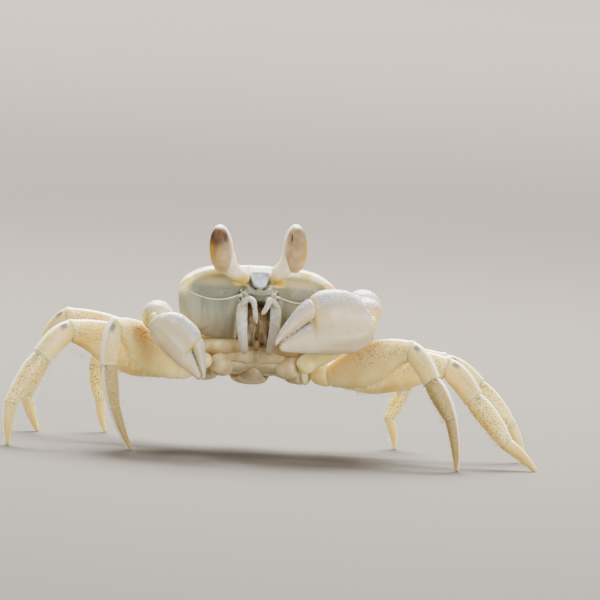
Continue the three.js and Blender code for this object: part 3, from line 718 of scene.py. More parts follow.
def make_mouthparts(material, inside):
    """The outer mouthparts, their palps and the folds between them."""
    pieces = []
    for name, side in SIDES.items():
        down = body(0, 0, -1) - body(0, 0, 0)
        plate = [(body(side * px, pf, pu), down, (1.0, 0, 0), deep, deep, wide)
                 for px, pf, pu, deep, wide in (
                     (1.98, 7.75, 0.75, 0.3, 0.95), (2.06, 8.15, 0.2, 0.42, 1.22),
                     (2.1, 8.28, -1.1, 0.44, 1.34), (2.04, 8.25, -2.4, 0.44, 1.26),
                     (1.86, 8.1, -3.8, 0.4, 1.14), (1.68, 7.8, -5.0, 0.34, 0.94),
                     (1.55, 7.4, -5.7, 0.25, 0.6))]

        def plate_relief(share, angle, points, side=side):
            joint = bump(share, 0.37 + 0.03 * np.cos(angle) * side, 0.012)
            groove = bump(np.cos(angle) * side, -0.35, 0.16) * ramp(share, 0.4, 0.5)
            inner = bump(np.cos(angle) * side, -0.9, 0.25)
            return -0.07 * joint - 0.06 * groove + 0.06 * inner

        bm, marks = limb_skin(plate, 36, 72, ends=(0.3, 0.5), square=0.74, relief=plate_relief)
        pieces.append(settle(bm, f"maxilliped_plate_{name}", material,
                             [f"maxilliped_{name}"], marks))
        low = -2.0 if side < 0 else -0.9
        bend = 0.0 if side < 0 else 0.25
        palp = [((2.2, 8.2, 0.15), 0.45), ((1.78, 8.8, 0.78), 0.48), ((1.22, 9.2, 1.0), 0.46),
                ((0.84 + bend, 9.4, 0.72), 0.44), ((0.64 + bend, 9.4, 0.1), 0.4),
                ((0.46 + bend * 0.4, 9.25, low * 0.55), 0.33), ((0.28, 9.0, low), 0.14)]
        rings = path_rings([(body(side * p[0], p[1], p[2]), r, r, 2 * r * 0.85) for p, r in palp],
                           np.array([0, 1.0, 0]))
        bm, marks = limb_skin(rings, 24, 60, ends=(0.25, 0.4), relief=lambda share, angle, p: (
            -0.07 * bump(share, 0.3, 0.02) - 0.07 * bump(share, 0.62, 0.02)))
        marks["limb"][:, 0] *= 0.4
        pieces.append(settle(bm, f"maxilliped_palp_{name}", material, None, marks))
    folds = bmesh.new()
    for x, forward, up, length, half, tilt in (
            (-1.15, 6.8, -2.3, 4.8, 0.66, 0.05), (1.15, 6.8, -2.3, 4.8, 0.66, -0.05),
            (-0.48, 6.75, -2.9, 3.2, 0.6, 0.14), (0.44, 6.75, -2.7, 3.5, 0.58, -0.1),
            (0.0, 6.5, -0.9, 1.9, 0.85, 0.0), (-0.02, 6.9, -4.5, 1.5, 0.6, 0.1)):
        start = body(x + tilt * length / 2, forward, up + length / 2)
        end = body(x - tilt * length / 2, forward, up - length / 2)
        run = unit(end - start)
        rings = [(start + (end - start) * t, run, (1.0, 0, 0), half * w, half * w, 1.6 * half * w)
                 for t, w in ((0, 0.6), (0.2, 0.9), (0.5, 1.0), (0.8, 0.9), (1, 0.5))]
        part, _ = limb_skin(rings, 20, 50, ends=(0.35, 0.35), relief=lambda share, angle, p: (
            0.1 * speckle(p, 0.6)))
        add_to(folds, part)
    folds = melt(folds, 0.1, 6)
    pieces.append(settle(folds, "mouth_folds", inside, None))
    return pieces


def eye_point(eye, side, x, y, z):
    """A point of the eye's upright frame, X outward, in the model's frame."""
    lean = math.radians(eye["lean"])
    cx, cy, cz = eye["centre"]
    out = x * math.cos(lean) + z * math.sin(lean)
    return np.stack(np.broadcast_arrays(cx + side * out, cy + y,
                                        cz + z * math.cos(lean) - x * math.sin(lean)), axis=-1)


def eye_marks(eye, side, points):
    """Points of the model in the eye's frame, as shares of its half sizes: X outward."""
    lean = math.radians(eye["lean"])
    away = points - np.array(eye["centre"])
    out = away[:, 0] * side
    return np.stack([(out * math.cos(lean) - away[:, 2] * math.sin(lean)) / EYE_HALF[0],
                     away[:, 1] / EYE_HALF[1],
                     (out * math.sin(lean) + away[:, 2] * math.cos(lean)) / EYE_HALF[2]], axis=-1)


def make_eyes(cornea_material, stalk_material):
    """The corneas and the stalks that carry them."""
    pieces = []
    half_x, half_y, half_z = EYE_HALF
    for name, side in SIDES.items():
        eye = EYES[name]
        marks = {}

        def cornea(angle, share, eye=eye, side=side, marks=marks):
            polar = share * math.pi
            ring = np.sin(polar) ** 0.86
            x, y, z = np.cos(angle) * ring, np.sin(angle) * ring, np.cos(polar)
            narrow = 1 - 0.07 * z
            marks["eye"] = np.stack([x, y, z], axis=-1)
            marks["tint"] = np.tile([1.0 if side < 0 else 0.42, 0.0, 0.0], (len(x), 1))
            return eye_point(eye, side, -0.05 + x * half_x * 1.1 * narrow, y * half_y * narrow,
                             -0.04 + z * half_z * 0.985)

        bm, _, _ = round_skin(96, 96, cornea)
        pieces.append(settle(bm, f"cornea_skin_{name}", cornea_material,
                             [f"cornea_{name}"], marks))

        def stalk_head(angle, share, eye=eye, side=side):
            polar = share * math.pi
            ring = np.sin(polar) ** 0.88
            x, y, z = np.cos(angle) * ring, np.sin(angle) * ring, np.cos(polar)
            narrow = 1 - 0.05 * z
            return eye_point(eye, side, -0.18 + x * (half_x + 0.15) * narrow, 0.5 + y * half_y * narrow,
                             0.06 + z * (half_z + 0.04))

        bm, _, _ = round_skin(72, 72, stalk_head)
        part, _ = limb_skin(neck_rings(eye, side), 48, 60, ends=(0.5, 1.0))
        add_to(bm, part)
        bm = melt(bm, 0.085, 7)
        marks = {"eye": eye_marks(eye, side, bm_points(bm))}
        pieces.append(settle(bm, f"eyestalk_shell_{name}", stalk_material,
                             [f"eyestalk_{name}"], marks))
    return pieces


def neck_rings(eye, side):
    """The stalk's neck, out of the orbit and up into the back of the eye."""
    foot = eye_point(eye, side, -0.75, 0.35, -1.5)
    x = abs(eye["centre"][0])
    path = [(np.array([side * 1.75, -6.3, 21.5]), 0.7), (np.array([side * 2.2, -7.0, 21.95]), 0.85),
            (np.array([side * (x - 2.0), -7.75, 22.5]), 0.98),
            (0.5 * (foot + np.array([side * (x - 1.45), -8.1, 22.9])), 1.08),
            (foot, 1.15), (eye_point(eye, side, -0.32, 0.38, 0.3), 1.05)]
    return path_rings([(p, r, r, 2 * r) for p, r in path], np.array([0, 1.0, 0]))


def make_antennae(material):
    """The short ringed antennae."""
    pieces = []
    for name, side in SIDES.items():
        path = [((2.1, 6.9, 1.65), 0.24), ((2.3, 7.15, 1.64), 0.19), ((2.58, 7.25, 1.58), 0.12),
                ((2.85, 7.28, 1.5), 0.08), ((3.12, 7.28, 1.44), 0.06), ((3.35, 7.25, 1.4), 0.04)]
        rings = path_rings([(body(side * p[0], p[1], p[2]), r, r, 2 * r) for p, r in path],
                           np.array([0, 1.0, 0]))

        def ringed(share, angle, points):
            rings = np.cos(share * 26 * math.pi) > 0.6
            return -0.03 * rings * ramp(share, 0.25, 0.4) * ramp(share, 1, 0.8)

        bm, marks = limb_skin(rings, 16, 110, ends=(0.2, 0.1), relief=ringed)
        pieces.append(settle(bm, f"antenna_shell_{name}", material,
                             [f"antenna_{name}"], marks))
    return pieces


# ---------------------------------------------------------------- shapes of the legs

def leg_plan(index, side_name):
    """A leg's sizes, its joints, the directions between them and its sideways axis."""
    side = SIDES[side_name]
    pair = PAIRS[index]
    heading, pitches = STANCE[side_name][index]
    turn = math.radians(heading)
    out = np.array([side * math.cos(turn), -math.sin(turn), 0.0])
    across = np.array([-out[1], out[0], 0.0])
    angles = [math.radians(p) for p in pitches]
    drop = sum(length * math.sin(a) for length, a in zip(pair["lengths"][1:], angles))
    angles.insert(0, math.asin((-pair["hip"][2] - drop) / pair["lengths"][0]))
    runs = [out * math.cos(a) + np.array([0, 0, math.sin(a)]) for a in angles]
    joints = [np.array([side * pair["hip"][0], pair["hip"][1], pair["hip"][2]])]
    for run, length in zip(runs, pair["lengths"]):
        joints.append(joints[-1] + run * length)
    return pair, joints, runs, across


def segment_rings(start, end, start_normal, end_normal, across, sections, bow, size=1.0):
    """Rings between two joints; the end rings lie in the planes that halve each joint."""
    along = end - start
    direction = unit(along)
    rise = unit(np.cross(direction, across))
    rings = []
    for place, above, below, thick in sections:
        near = np.clip(1 - place / 0.4, 0, 1)
        far = np.clip(1 - (1 - place) / 0.4, 0, 1)
        normal = unit(direction + (start_normal - direction) * near + (end_normal - direction) * far)
        centre = start + along * place + rise * (bow * math.sin(math.pi * place))
        rings.append((centre, normal, across, above * size, below * size, thick * size))
    return rings


def make_leg(index, side_name, materials, membrane):
    """The segments of a walking leg and the membranes in its joints."""
    pair, joints, runs, across = leg_plan(index, side_name)
    side = SIDES[side_name]
    size = pair["stout"]
    tag = f"leg{index + 1}"
    front = "front " if index == 0 else ""
    halves = [unit(runs[k] + runs[k + 1]) for k in range(3)]
    coxa = coxa_centre(pair["hip"], side)
    to_hip = unit(joints[0] - coxa)
    turn = unit(to_hip + runs[0])
    pieces = []

    # Basis, ischium and merus: a short stub, a waist at the hip and the leaf beyond it
    stub = [(coxa + to_hip * 1.9, to_hip, across, 1.05 * size, 1.1 * size, 1.6 * size),
            (0.5 * (coxa + to_hip * 2.3 + joints[0]), to_hip, across,
             1.45 * size, 1.5 * size, 2.05 * size),
            (joints[0], turn, across, 1.5 * size, 1.55 * size, 1.95 * size)]
    leaf = ((0.14, 1.85, 2.2, 2.2), (0.36, 2.2, 3.0, 2.35), (0.6, 2.15, 2.75, 2.3),
            (0.8, 1.8, 2.0, 2.2), (0.93, 1.4, 1.6, 2.1), (1.0, 1.25, 1.45, 2.0))
    rings = stub + segment_rings(joints[0], joints[1], turn, halves[0], across, leaf, 0.35, size)
    hip_share = stations_of(rings)[2][0] / stations_of(rings)[-1][0]

    def merus_relief(share, angle, points):
        s = np.sin(angle)
        collar = bump(share, hip_share - 0.015, 0.012)
        edge = ramp(s, 0.8, 1.0) * ramp(share, hip_share, hip_share + 0.15)
        lower = bump(s, -0.72, 0.12) * ramp(share, hip_share + 0.05, hip_share + 0.2)
        dent = bump(s, -0.9, 0.12) * ramp(share, 0.75, 0.95)
        lip = 0.6 * bump(share, 0.975, 0.014)
        return (-0.2 * collar + 0.1 * edge + 0.05 * lower - 0.1 * dent + 0.07 * lip) * size

    bm, marks = limb_skin(rings, 64, 150, ends=(0.5, 0.2), relief=merus_relief)
    marks["limb"][:, 0] = (marks["limb"][:, 0] - hip_share) / (1 - hip_share)
    pieces.append(settle(bm, f"{tag}_merus_shell_{side_name}", materials["merus"],
                         [f"{tag}_merus_{side_name}"], marks))

    carpus = ((-0.07, 1.0, 1.1, 1.65), (0.06, 1.22, 1.36, 1.92), (0.35, 1.36, 1.42, 2.0),
              (0.7, 1.3, 1.36, 1.92), (0.94, 1.22, 1.24, 1.82), (1.01, 1.2, 1.2, 1.76))
    rings = segment_rings(joints[1], joints[2], halves[0], halves[1], across, carpus, 0.3, size)
    bm, marks = limb_skin(rings, 56, 84, ends=(0.3, 0.16), relief=lambda share, angle, p: size * (
        0.05 * bump(share, 0.95, 0.03) + 0.07 * ramp(np.sin(angle), 0.75, 1.0)
        - 0.05 * bump(np.sin(angle), 0.45, 0.14) * ramp(share, 0.15, 0.4)
        - 0.05 * bump(share, 0.1, 0.03)))
    pieces.append(settle(bm, f"{tag}_carpus_shell_{side_name}", materials["carpus"],
                         [f"{tag}_carpus_{side_name}"], marks))

    propodus = ((-0.055, 1.0, 1.0, 1.5), (0.06, 1.2, 1.2, 1.74), (0.3, 1.3, 1.28, 1.7),
                (0.7, 1.14, 1.12, 1.44), (0.93, 0.9, 0.9, 1.22), (1.01, 0.86, 0.86, 1.16))
    rings = segment_rings(joints[2], joints[3], halves[1], halves[2], across, propodus, 0.15, size)
    bm, marks = limb_skin(rings, 56, 96, ends=(0.28, 0.14), relief=lambda share, angle, p: size * (
        0.05 * np.cos(4 * angle) * ramp(share, 0.1, 0.3) * ramp(share, 1.0, 0.85)
        + 0.04 * bump(share, 0.96, 0.025) - 0.05 * bump(share, 0.08, 0.025)))
    pieces.append(settle(bm, f"{tag}_propodus_shell_{side_name}", materials[front + "propodus"],
                         [f"{tag}_propodus_{side_name}"], marks))

    low = np.array([joints[4][0], joints[4][1], 0.0])
    dactyl = ((-0.06, 0.72, 0.72, 1.0), (0.05, 0.84, 0.84, 1.16), (0.3, 0.78, 0.76, 1.04),
              (0.65, 0.56, 0.56, 0.8), (0.86, 0.39, 0.39, 0.57), (0.97, 0.27, 0.27, 0.42),
              (1.0, 0.2, 0.2, 0.34))
    rings = segment_rings(joints[3], low, halves[2], runs[3], across, dactyl, 0.2, max(size, 0.8))

    def dactyl_relief(share, angle, points):
        flute = 0.5 + 0.5 * np.cos(5 * angle)
        return -0.07 * flute * ramp(share, 0.08, 0.25) * ramp(share, 0.97, 0.8) * size

    bm, marks = limb_skin(rings, 60, 96, ends=(0.22, 0.22), relief=dactyl_relief)
    flat = bm_points(bm)
    flat[:, 2] = np.maximum(flat[:, 2], 0.0)
    move_points(bm, flat)
    pieces.append(settle(bm, f"{tag}_dactyl_shell_{side_name}", materials[front + "dactyl"],
                         [f"{tag}_dactyl_{side_name}"], marks))

    # The soft membranes that show in the joints
    bm = bmesh.new()
    limb = []
    for k, (tall, thick) in enumerate(((1.12, 0.84), (1.02, 0.78), (0.7, 0.5))):
        at = joints[k + 1]
        rings = [(at + halves[k] * step * size, halves[k], across, tall * w * size, tall * w * size,
                  2 * thick * w * size) for step, w in ((-0.55, 0.8), (0.0, 1.0), (0.55, 0.85))]
        part, mark = limb_skin(rings, 32, 24, ends=(0.3, 0.3), relief=lambda share, angle, p: (
            0.03 * np.cos(share * 12 * math.pi)))
        limb.append(mark["limb"])
        add_to(bm, part)
    pieces.append(settle(bm, f"{tag}_membranes_{side_name}", membrane, None,
                         {"limb": np.concatenate(limb)}))
    return pieces


# ---------------------------------------------------------------- shapes of the claws

def claw_frame(name):
    """A claw's sizes, its axes and a function that places points in its plane."""
    side = SIDES[name]
    claw = CLAWS[name]
    wrist = np.array(claw["wrist"]) * (side, 1, 1)
    along = unit(np.array(claw["tip"]) * (side, 1, 1) - wrist)
    across = unit(np.cross([0, 0, 1.0], along))
    rise = unit(np.cross(along, across))

    def place(s, h):
        return wrist + along * (s * claw["length"]) + rise * (h * claw["height"])

    return claw, along, across, rise, place


def claw_rings(name, rows):
    """Rings of a claw piece from rows of (along, top, bottom, thick)."""
    claw, along, across, _, place = claw_frame(name)
    return [(place(s, 0.5 * (top + bottom)), along, across, 0.5 * (top - bottom) * claw["height"],
             0.5 * (top - bottom) * claw["height"], max(thick * claw["thick"], 0.5))
            for s, top, bottom, thick in rows]


PALM_ROWS = ((-0.35, 0.9, -1.1, 1.5), (0.2, 2.5, -1.7, 2.6), (1.3, 4.2, -2.3, 3.5),
             (3.1, 5.2, -2.6, 4.1), (5.3, 5.55, -2.4, 4.2), (6.8, 5.25, -2.15, 3.9),
             (7.45, 4.6, -2.05, 3.55), (7.8, 2.5, -1.95, 3.1), (8.6, 1.88, -1.8, 2.65),
             (9.4, 1.46, -1.6, 2.25), (10.6, 0.84, -1.3, 1.65), (11.6, 0.2, -1.0, 1.0),
             (12.15, -0.3, -0.75, 0.5))
FINGER_ROWS = ((7.25, 4.5, 2.9, 2.9), (7.7, 4.85, 2.2, 3.3), (8.4, 4.5, 1.96, 3.05),
               (9.2, 3.97, 1.62, 2.55), (10.1, 3.16, 1.22, 2.05), (11.2, 2.12, 0.72, 1.45),
               (12.1, 1.05, 0.2, 0.85), (12.65, 0.3, -0.28, 0.45))


def make_claw(name, shell, leg_shell, membrane):
    """A claw with its teeth, carpus, merus and membranes."""
    claw, along, _, _, place = claw_frame(name)
    side = SIDES[name]
    big = claw["height"] >= 1
    grain = 0.34 if big else 0.3
    pieces = []

    def granular(height, from_rise):
        def relief(share, angle, points):
            s = np.sin(angle)
            cover = ramp(s, from_rise, from_rise + 0.7)
            return height * granules(points, grain) * (0.25 + 0.75 * cover)
        return relief

    def palm_relief(share, angle, points):
        s = np.sin(angle)
        upper = bump(s, 0.97, 0.12) * ramp(share, 0.1, 0.25) * ramp(share, 0.62, 0.5)
        lower = bump(s, -0.93, 0.14) * ramp(share, 0.1, 0.3)
        swell = 0.12 * bump(share, 0.42, 0.16) * bump(s, 0.1, 0.5)
        wrist = bump(share, 0.075, 0.02)
        return (granular(0.06, 0.1)(share, angle, points) + 0.1 * upper + 0.09 * lower
                + swell - 0.16 * wrist) * claw["thick"]

    bm, marks = limb_skin(claw_rings(name, PALM_ROWS), 128, 210, ends=(0.7, 0.3), square=0.88,
                          relief=palm_relief)
    pieces.append(settle(bm, f"claw_palm_shell_{name}", shell,
                         [f"claw_palm_{name}"], marks))
    bm, marks = limb_skin(claw_rings(name, FINGER_ROWS), 88, 130, ends=(0.3, 0.25), square=0.92,
                          relief=granular(0.04, 0.3))
    marks["limb"][:, 0] += 1.0
    pieces.append(settle(bm, f"claw_finger_shell_{name}", shell,
                         [f"claw_finger_{name}"], marks))

    # Blunt teeth along both edges of the gape, larger in the middle
    rows, sizes = [], []
    for rows_of, pick, lift, shift in ((PALM_ROWS, 1, -0.02, 0.0), (FINGER_ROWS, 2, 0.04, 0.13)):
        at = np.linspace(8.3, 11.8, 14) + shift
        values = smooth_rows(np.array(rows_of), at)
        for k, (s, h) in enumerate(zip(at, values[:, pick - 1])):
            rows.append(place(s, h + lift))
            sizes.append((0.1 + 0.1 * math.sin(k * 1.9) ** 2) * claw["length"])
    tooth = bmesh.new()
    bmesh.ops.create_uvsphere(tooth, u_segments=10, v_segments=7, radius=1)
    bm, template = copies(tooth, len(rows))
    points = (np.array(rows)[:, None, :] + template[None] * (1.0, 2.2, 1.25)
              * np.array(sizes)[:, None, None])
    move_points(bm, points.reshape(-1, 3))
    pieces.append(settle(bm, f"claw_teeth_{name}", shell, None,
                         {"limb": np.tile([1.3, -0.3, 0.0], (len(rows) * len(template), 1))}))

    # The carpus: three lumps run into one, with a short spine on its inner corner
    centre = np.array(claw["carpus"]) * (side, 1, 1)
    root = np.array(claw["root"]) * (side, 1, 1)
    elbow = np.array(claw["elbow"]) * (side, 1, 1)
    wrist = place(-0.1, 0.0)
    radius = claw["carpus_radius"]
    bm = bmesh.new()
    for at, sizes in ((centre + (0, 0, 0.02 * radius), (0.95, 0.9, 0.95)),
                      (centre + (wrist - centre) * 0.46 + (0, 0, 0.32 * radius), (0.74, 0.66, 0.62)),
                      (centre + (elbow - centre) * 0.6, (0.76, 0.8, 0.56))):
        shape = Matrix.Translation(at) @ Matrix.Diagonal((*(radius * s for s in sizes), 1))
        bmesh.ops.create_uvsphere(bm, u_segments=32, v_segments=24, radius=1, matrix=shape)
    corner = centre + np.array([-0.62 * side, -0.72, 0.42]) * radius
    way = unit(np.array([-0.75 * side, -0.65, 0.1]))
    turn = Vector(way).to_track_quat("Z", "Y").to_matrix().to_4x4()
    bmesh.ops.create_cone(bm, cap_ends=True, segments=16, radius1=0.36 * radius, radius2=0.04,
                          depth=0.75 * radius, matrix=Matrix.Translation(corner) @ turn)
    bm = melt(bm, 0.034 * radius + 0.03, 22)
    points = bm_points(bm)
    bm.normal_update()
    normals = np.array([v.normal[:] for v in bm.verts])
    cover = ramp(normals[:, 2], -0.3, 0.6)
    points = points + normals * (0.08 * granules(points, grain) * (0.3 + 0.7 * cover))[:, None]
    move_points(bm, points)
    facing = np.clip((points[:, 1] - centre[1]) / radius, -1, 1)
    marks = {"limb": np.stack([2.5 - 0.5 * facing, normals[:, 2], normals[:, 0] * side], axis=-1)}
    pieces.append(settle(bm, f"claw_carpus_shell_{name}", shell,
                         [f"claw_carpus_{name}"], marks))

    run = unit(elbow - root)
    merus_across = unit(np.cross([0, 0, 1.0], run))
    tall, wide = claw["merus_height"] / 2, claw["merus_thick"]
    rings = [(root + (elbow - root) * t, run, merus_across, tall * high, tall * high, wide * thick)
             for t, high, thick in ((-0.06, 0.5, 0.6), (0.1, 0.68, 0.84), (0.16, 0.6, 0.78),
                                    (0.3, 0.85, 0.95), (0.55, 1, 1.02), (0.8, 1, 1), (0.98, 0.8, 0.9))]
    bm, marks = limb_skin(rings, 56, 90, ends=(0.5, 0.5), relief=lambda share, angle, p: (
        0.03 * granules(p, 0.34) + 0.1 * ramp(np.sin(angle), 0.8, 1.0)))
    pieces.append(settle(bm, f"claw_merus_shell_{name}", leg_shell,
                         [f"claw_merus_{name}"], marks))

    # Membranes: elbow, wrist and the corner of the gape
    bm = bmesh.new()
    limb = []
    elbow_run = unit(centre - elbow)
    wrist_run = unit(wrist - centre)
    gape = place(7.75, 2.3)
    for at, normal, tall, thick, step in (
            (elbow + elbow_run * 0.3, elbow_run, tall * 0.75, wide * 0.72, 1.0),
            (wrist - wrist_run * 0.5, wrist_run, 1.35 * claw["height"], 1.7 * claw["thick"], 0.8),
            (gape, along, 0.5 * claw["height"], 2.1 * claw["thick"], 0.55)):
        side_way = unit(np.cross([0, 0, 1.0], normal))
        rings = [(at + normal * step * t, normal, side_way, tall * w, tall * w, thick * w)
                 for t, w in ((-1, 0.75), (0, 1.0), (1, 0.75))]
        part, mark = limb_skin(rings, 32, 28, ends=(0.35, 0.35), relief=lambda share, angle, p: (
            0.035 * np.cos(share * 10 * math.pi)))
        limb.append(mark["limb"])
        add_to(bm, part)
    pieces.append(settle(bm, f"claw_membranes_{name}", membrane, None,
                         {"limb": np.concatenate(limb)}))
    return pieces


# ---------------------------------------------------------------- bristles

def bristle_rows(rng, start, end, normal_way, droop, count, length, spread, lift):
    """Roots, directions and lengths of a row of bristles between two points."""
    t = np.sort(rng.uniform(0, 1, count))
    roots = start + (end - start) * t[:, None] + rng.normal(0, spread, (count, 3))
    roots = roots + normal_way * lift
    way = unit(np.asarray(normal_way) + rng.normal(0, 0.13, (count, 3)) + 0.2 * unit(end - start))
    return roots, way, length * rng.uniform(0.6, 1.15, count), np.tile(droop, (count, 1))


def make_bristles(material, length, thickness, seed):
    """The bristles under the legs and around the mouth."""
    pieces = []
    for name in SIDES:
        for index in range(4):
            rng = np.random.default_rng(seed + index + (10 if name == "left" else 0))
            pair, joints, runs, across = leg_plan(index, name)
            size = pair["stout"]
            sets = []
            for k, (tall, wide, share, count, scale) in enumerate((
                    (2.5, 0.5, (0.12, 0.9), 90, 1.1), (1.3, 0.5, (0.2, 0.95), 30, 0.5),
                    (1.2, 0.55, (0.08, 0.95), 90, 0.8), (0.6, 0.35, (0.05, 0.7), 50, 0.45))):
                rise = unit(np.cross(runs[k], across))
                for sign in (-1, 1):
                    way = unit(-rise + across * sign * 0.45)
                    a = joints[k] + runs[k] * pair["lengths"][k] * share[0]
                    b = joints[k] + runs[k] * pair["lengths"][k] * share[1]
                    roots, ways, lengths, droops = bristle_rows(
                        rng, a, b, way, runs[k], count // 2, length * scale, 0.05, 0.0)
                    t = np.clip(np.linalg.norm(roots - joints[k], axis=1) / pair["lengths"][k], 0, 1)
                    # The merus bulges, so its bristles start lower in its middle
                    swell = 0.55 + 0.62 * np.sin(math.pi * np.clip(t * 0.95 + 0.03, 0, 1)) ** 0.7
                    depth = tall * size * (0.83 if k else 0.86 * swell)
                    roots = roots - rise * np.reshape(depth, (-1, 1))
                    roots = roots + across * (sign * wide * size * 0.5)
                    # The leg unwrapped: its segments end to end, and each row at its own height
                    places = np.stack([(k + t) / 4, np.full(len(t), 0.5 + 0.12 * sign)], axis=-1)
                    sets.append((roots, ways, lengths, droops, places))
            roots, ways, lengths, droops, places = (np.concatenate(part) for part in zip(*sets))
            pieces.append(hairs(f"leg{index + 1}_bristles_{name}", roots, ways, lengths,
                                thickness, material, droops, places))
    # A short fringe along the lower edges of the mouth frame and between the leg bases
    for name, side in SIDES.items():
        rng = np.random.default_rng(seed + 40 + side)
        sets = []
        for (x0, f0, u0), (x1, f1, u1), way, count in (
                ((2.6, 7.2, -0.2), (2.5, 6.6, -3.4), (0.3, -1, -0.2), 50),
                ((6.6, 1.5, -4.6), (6.5, 0.4, -4.8), (0.7, 0, -0.7), 60)):
            start, end = body(side * x0, f0, u0), body(side * x1, f1, u1)
            row = bristle_rows(rng, start, end, unit(np.array(way) * (side, 1, 1)),
                               (0, 0, -1.0), count, length * 0.6, 0.08, 0.0)
            t = np.linalg.norm(row[0] - start, axis=1) / np.linalg.norm(end - start)
            places = np.stack([0.1 + 0.8 * t, np.full(len(t), 0.3 + 0.4 * len(sets))], axis=-1)
            sets.append((*row, places))
        roots, ways, lengths, droops, places = (np.concatenate(part) for part in zip(*sets))
        pieces.append(hairs(f"mouth_bristles_{name}", roots, ways, lengths, thickness * 0.8,
                            material, droops, places))
    return pieces


# ---------------------------------------------------------------- materials

# What these kinds of node are set to here, unless a call says otherwise
USUAL = {
    "ShaderNodeMix": {"data_type": "RGBA"},
    "ShaderNodeMapRange": {"interpolation_type": "SMOOTHSTEP"},
}


def add_node(tree, kind, *inputs, named=None, output=None, **settings):
    """Adds a node with its settings and links, and gives back its output: the first that it
    shows, or the one named. inputs are numbers, colours or sockets for the inputs that it
    shows, in their order, and named holds others by name."""
    made = tree.nodes.new(kind)
    for key, value in {**USUAL.get(kind, {}), **settings}.items():
        setattr(made, key, value)
    shown = [socket for socket in made.inputs if socket.enabled]
    given = [*zip(shown, inputs), *((made.inputs[key], value) for key, value in (named or {}).items())]
    for socket, value in given:
        if isinstance(value, bpy.types.NodeSocket):
            tree.links.new(value, socket)
        else:
            socket.default_value = value
    if output:
        return made.outputs[output]
    return next((socket for socket in made.outputs if socket.enabled), None)


def shell(name, roughness, ior, body_light, spread, coat=0.0):
    """A material with a Principled shader for shell: body_light is the share of light that
    passes into it and spread, in millimetres, how far it travels before it comes out."""
    material = bpy.data.materials.new(name)
    material.use_nodes = True
    tree = material.node_tree
    tree.nodes.clear()
    surface = add_node(tree, "ShaderNodeBsdfPrincipled", named={
        "Roughness": roughness, "IOR": ior, "Subsurface Weight": body_light,
        "Subsurface Radius": (0.85, 0.88, 0.6), "Subsurface Scale": spread * MM,
        "Coat Weight": coat, "Coat Roughness": 0.12})
    add_node(tree, "ShaderNodeOutputMaterial", surface)
    where = add_node(tree, "ShaderNodeTexCoord", output="Object")
    return material, tree, where


def finish_shell(material, base, height=None, strength=0, depth=0):
    """Gives a shell material its colour and, from height, a fine relief, depth in millimetres."""
    tree = material.node_tree
    surface = next(node for node in tree.nodes if node.type == "BSDF_PRINCIPLED")
    tree.links.new(base, surface.inputs["Base Color"])
    if height is not None:
        raised = add_node(tree, "ShaderNodeBump", strength, depth * MM, named={"Height": height})
        tree.links.new(raised, surface.inputs["Normal"])
    return material


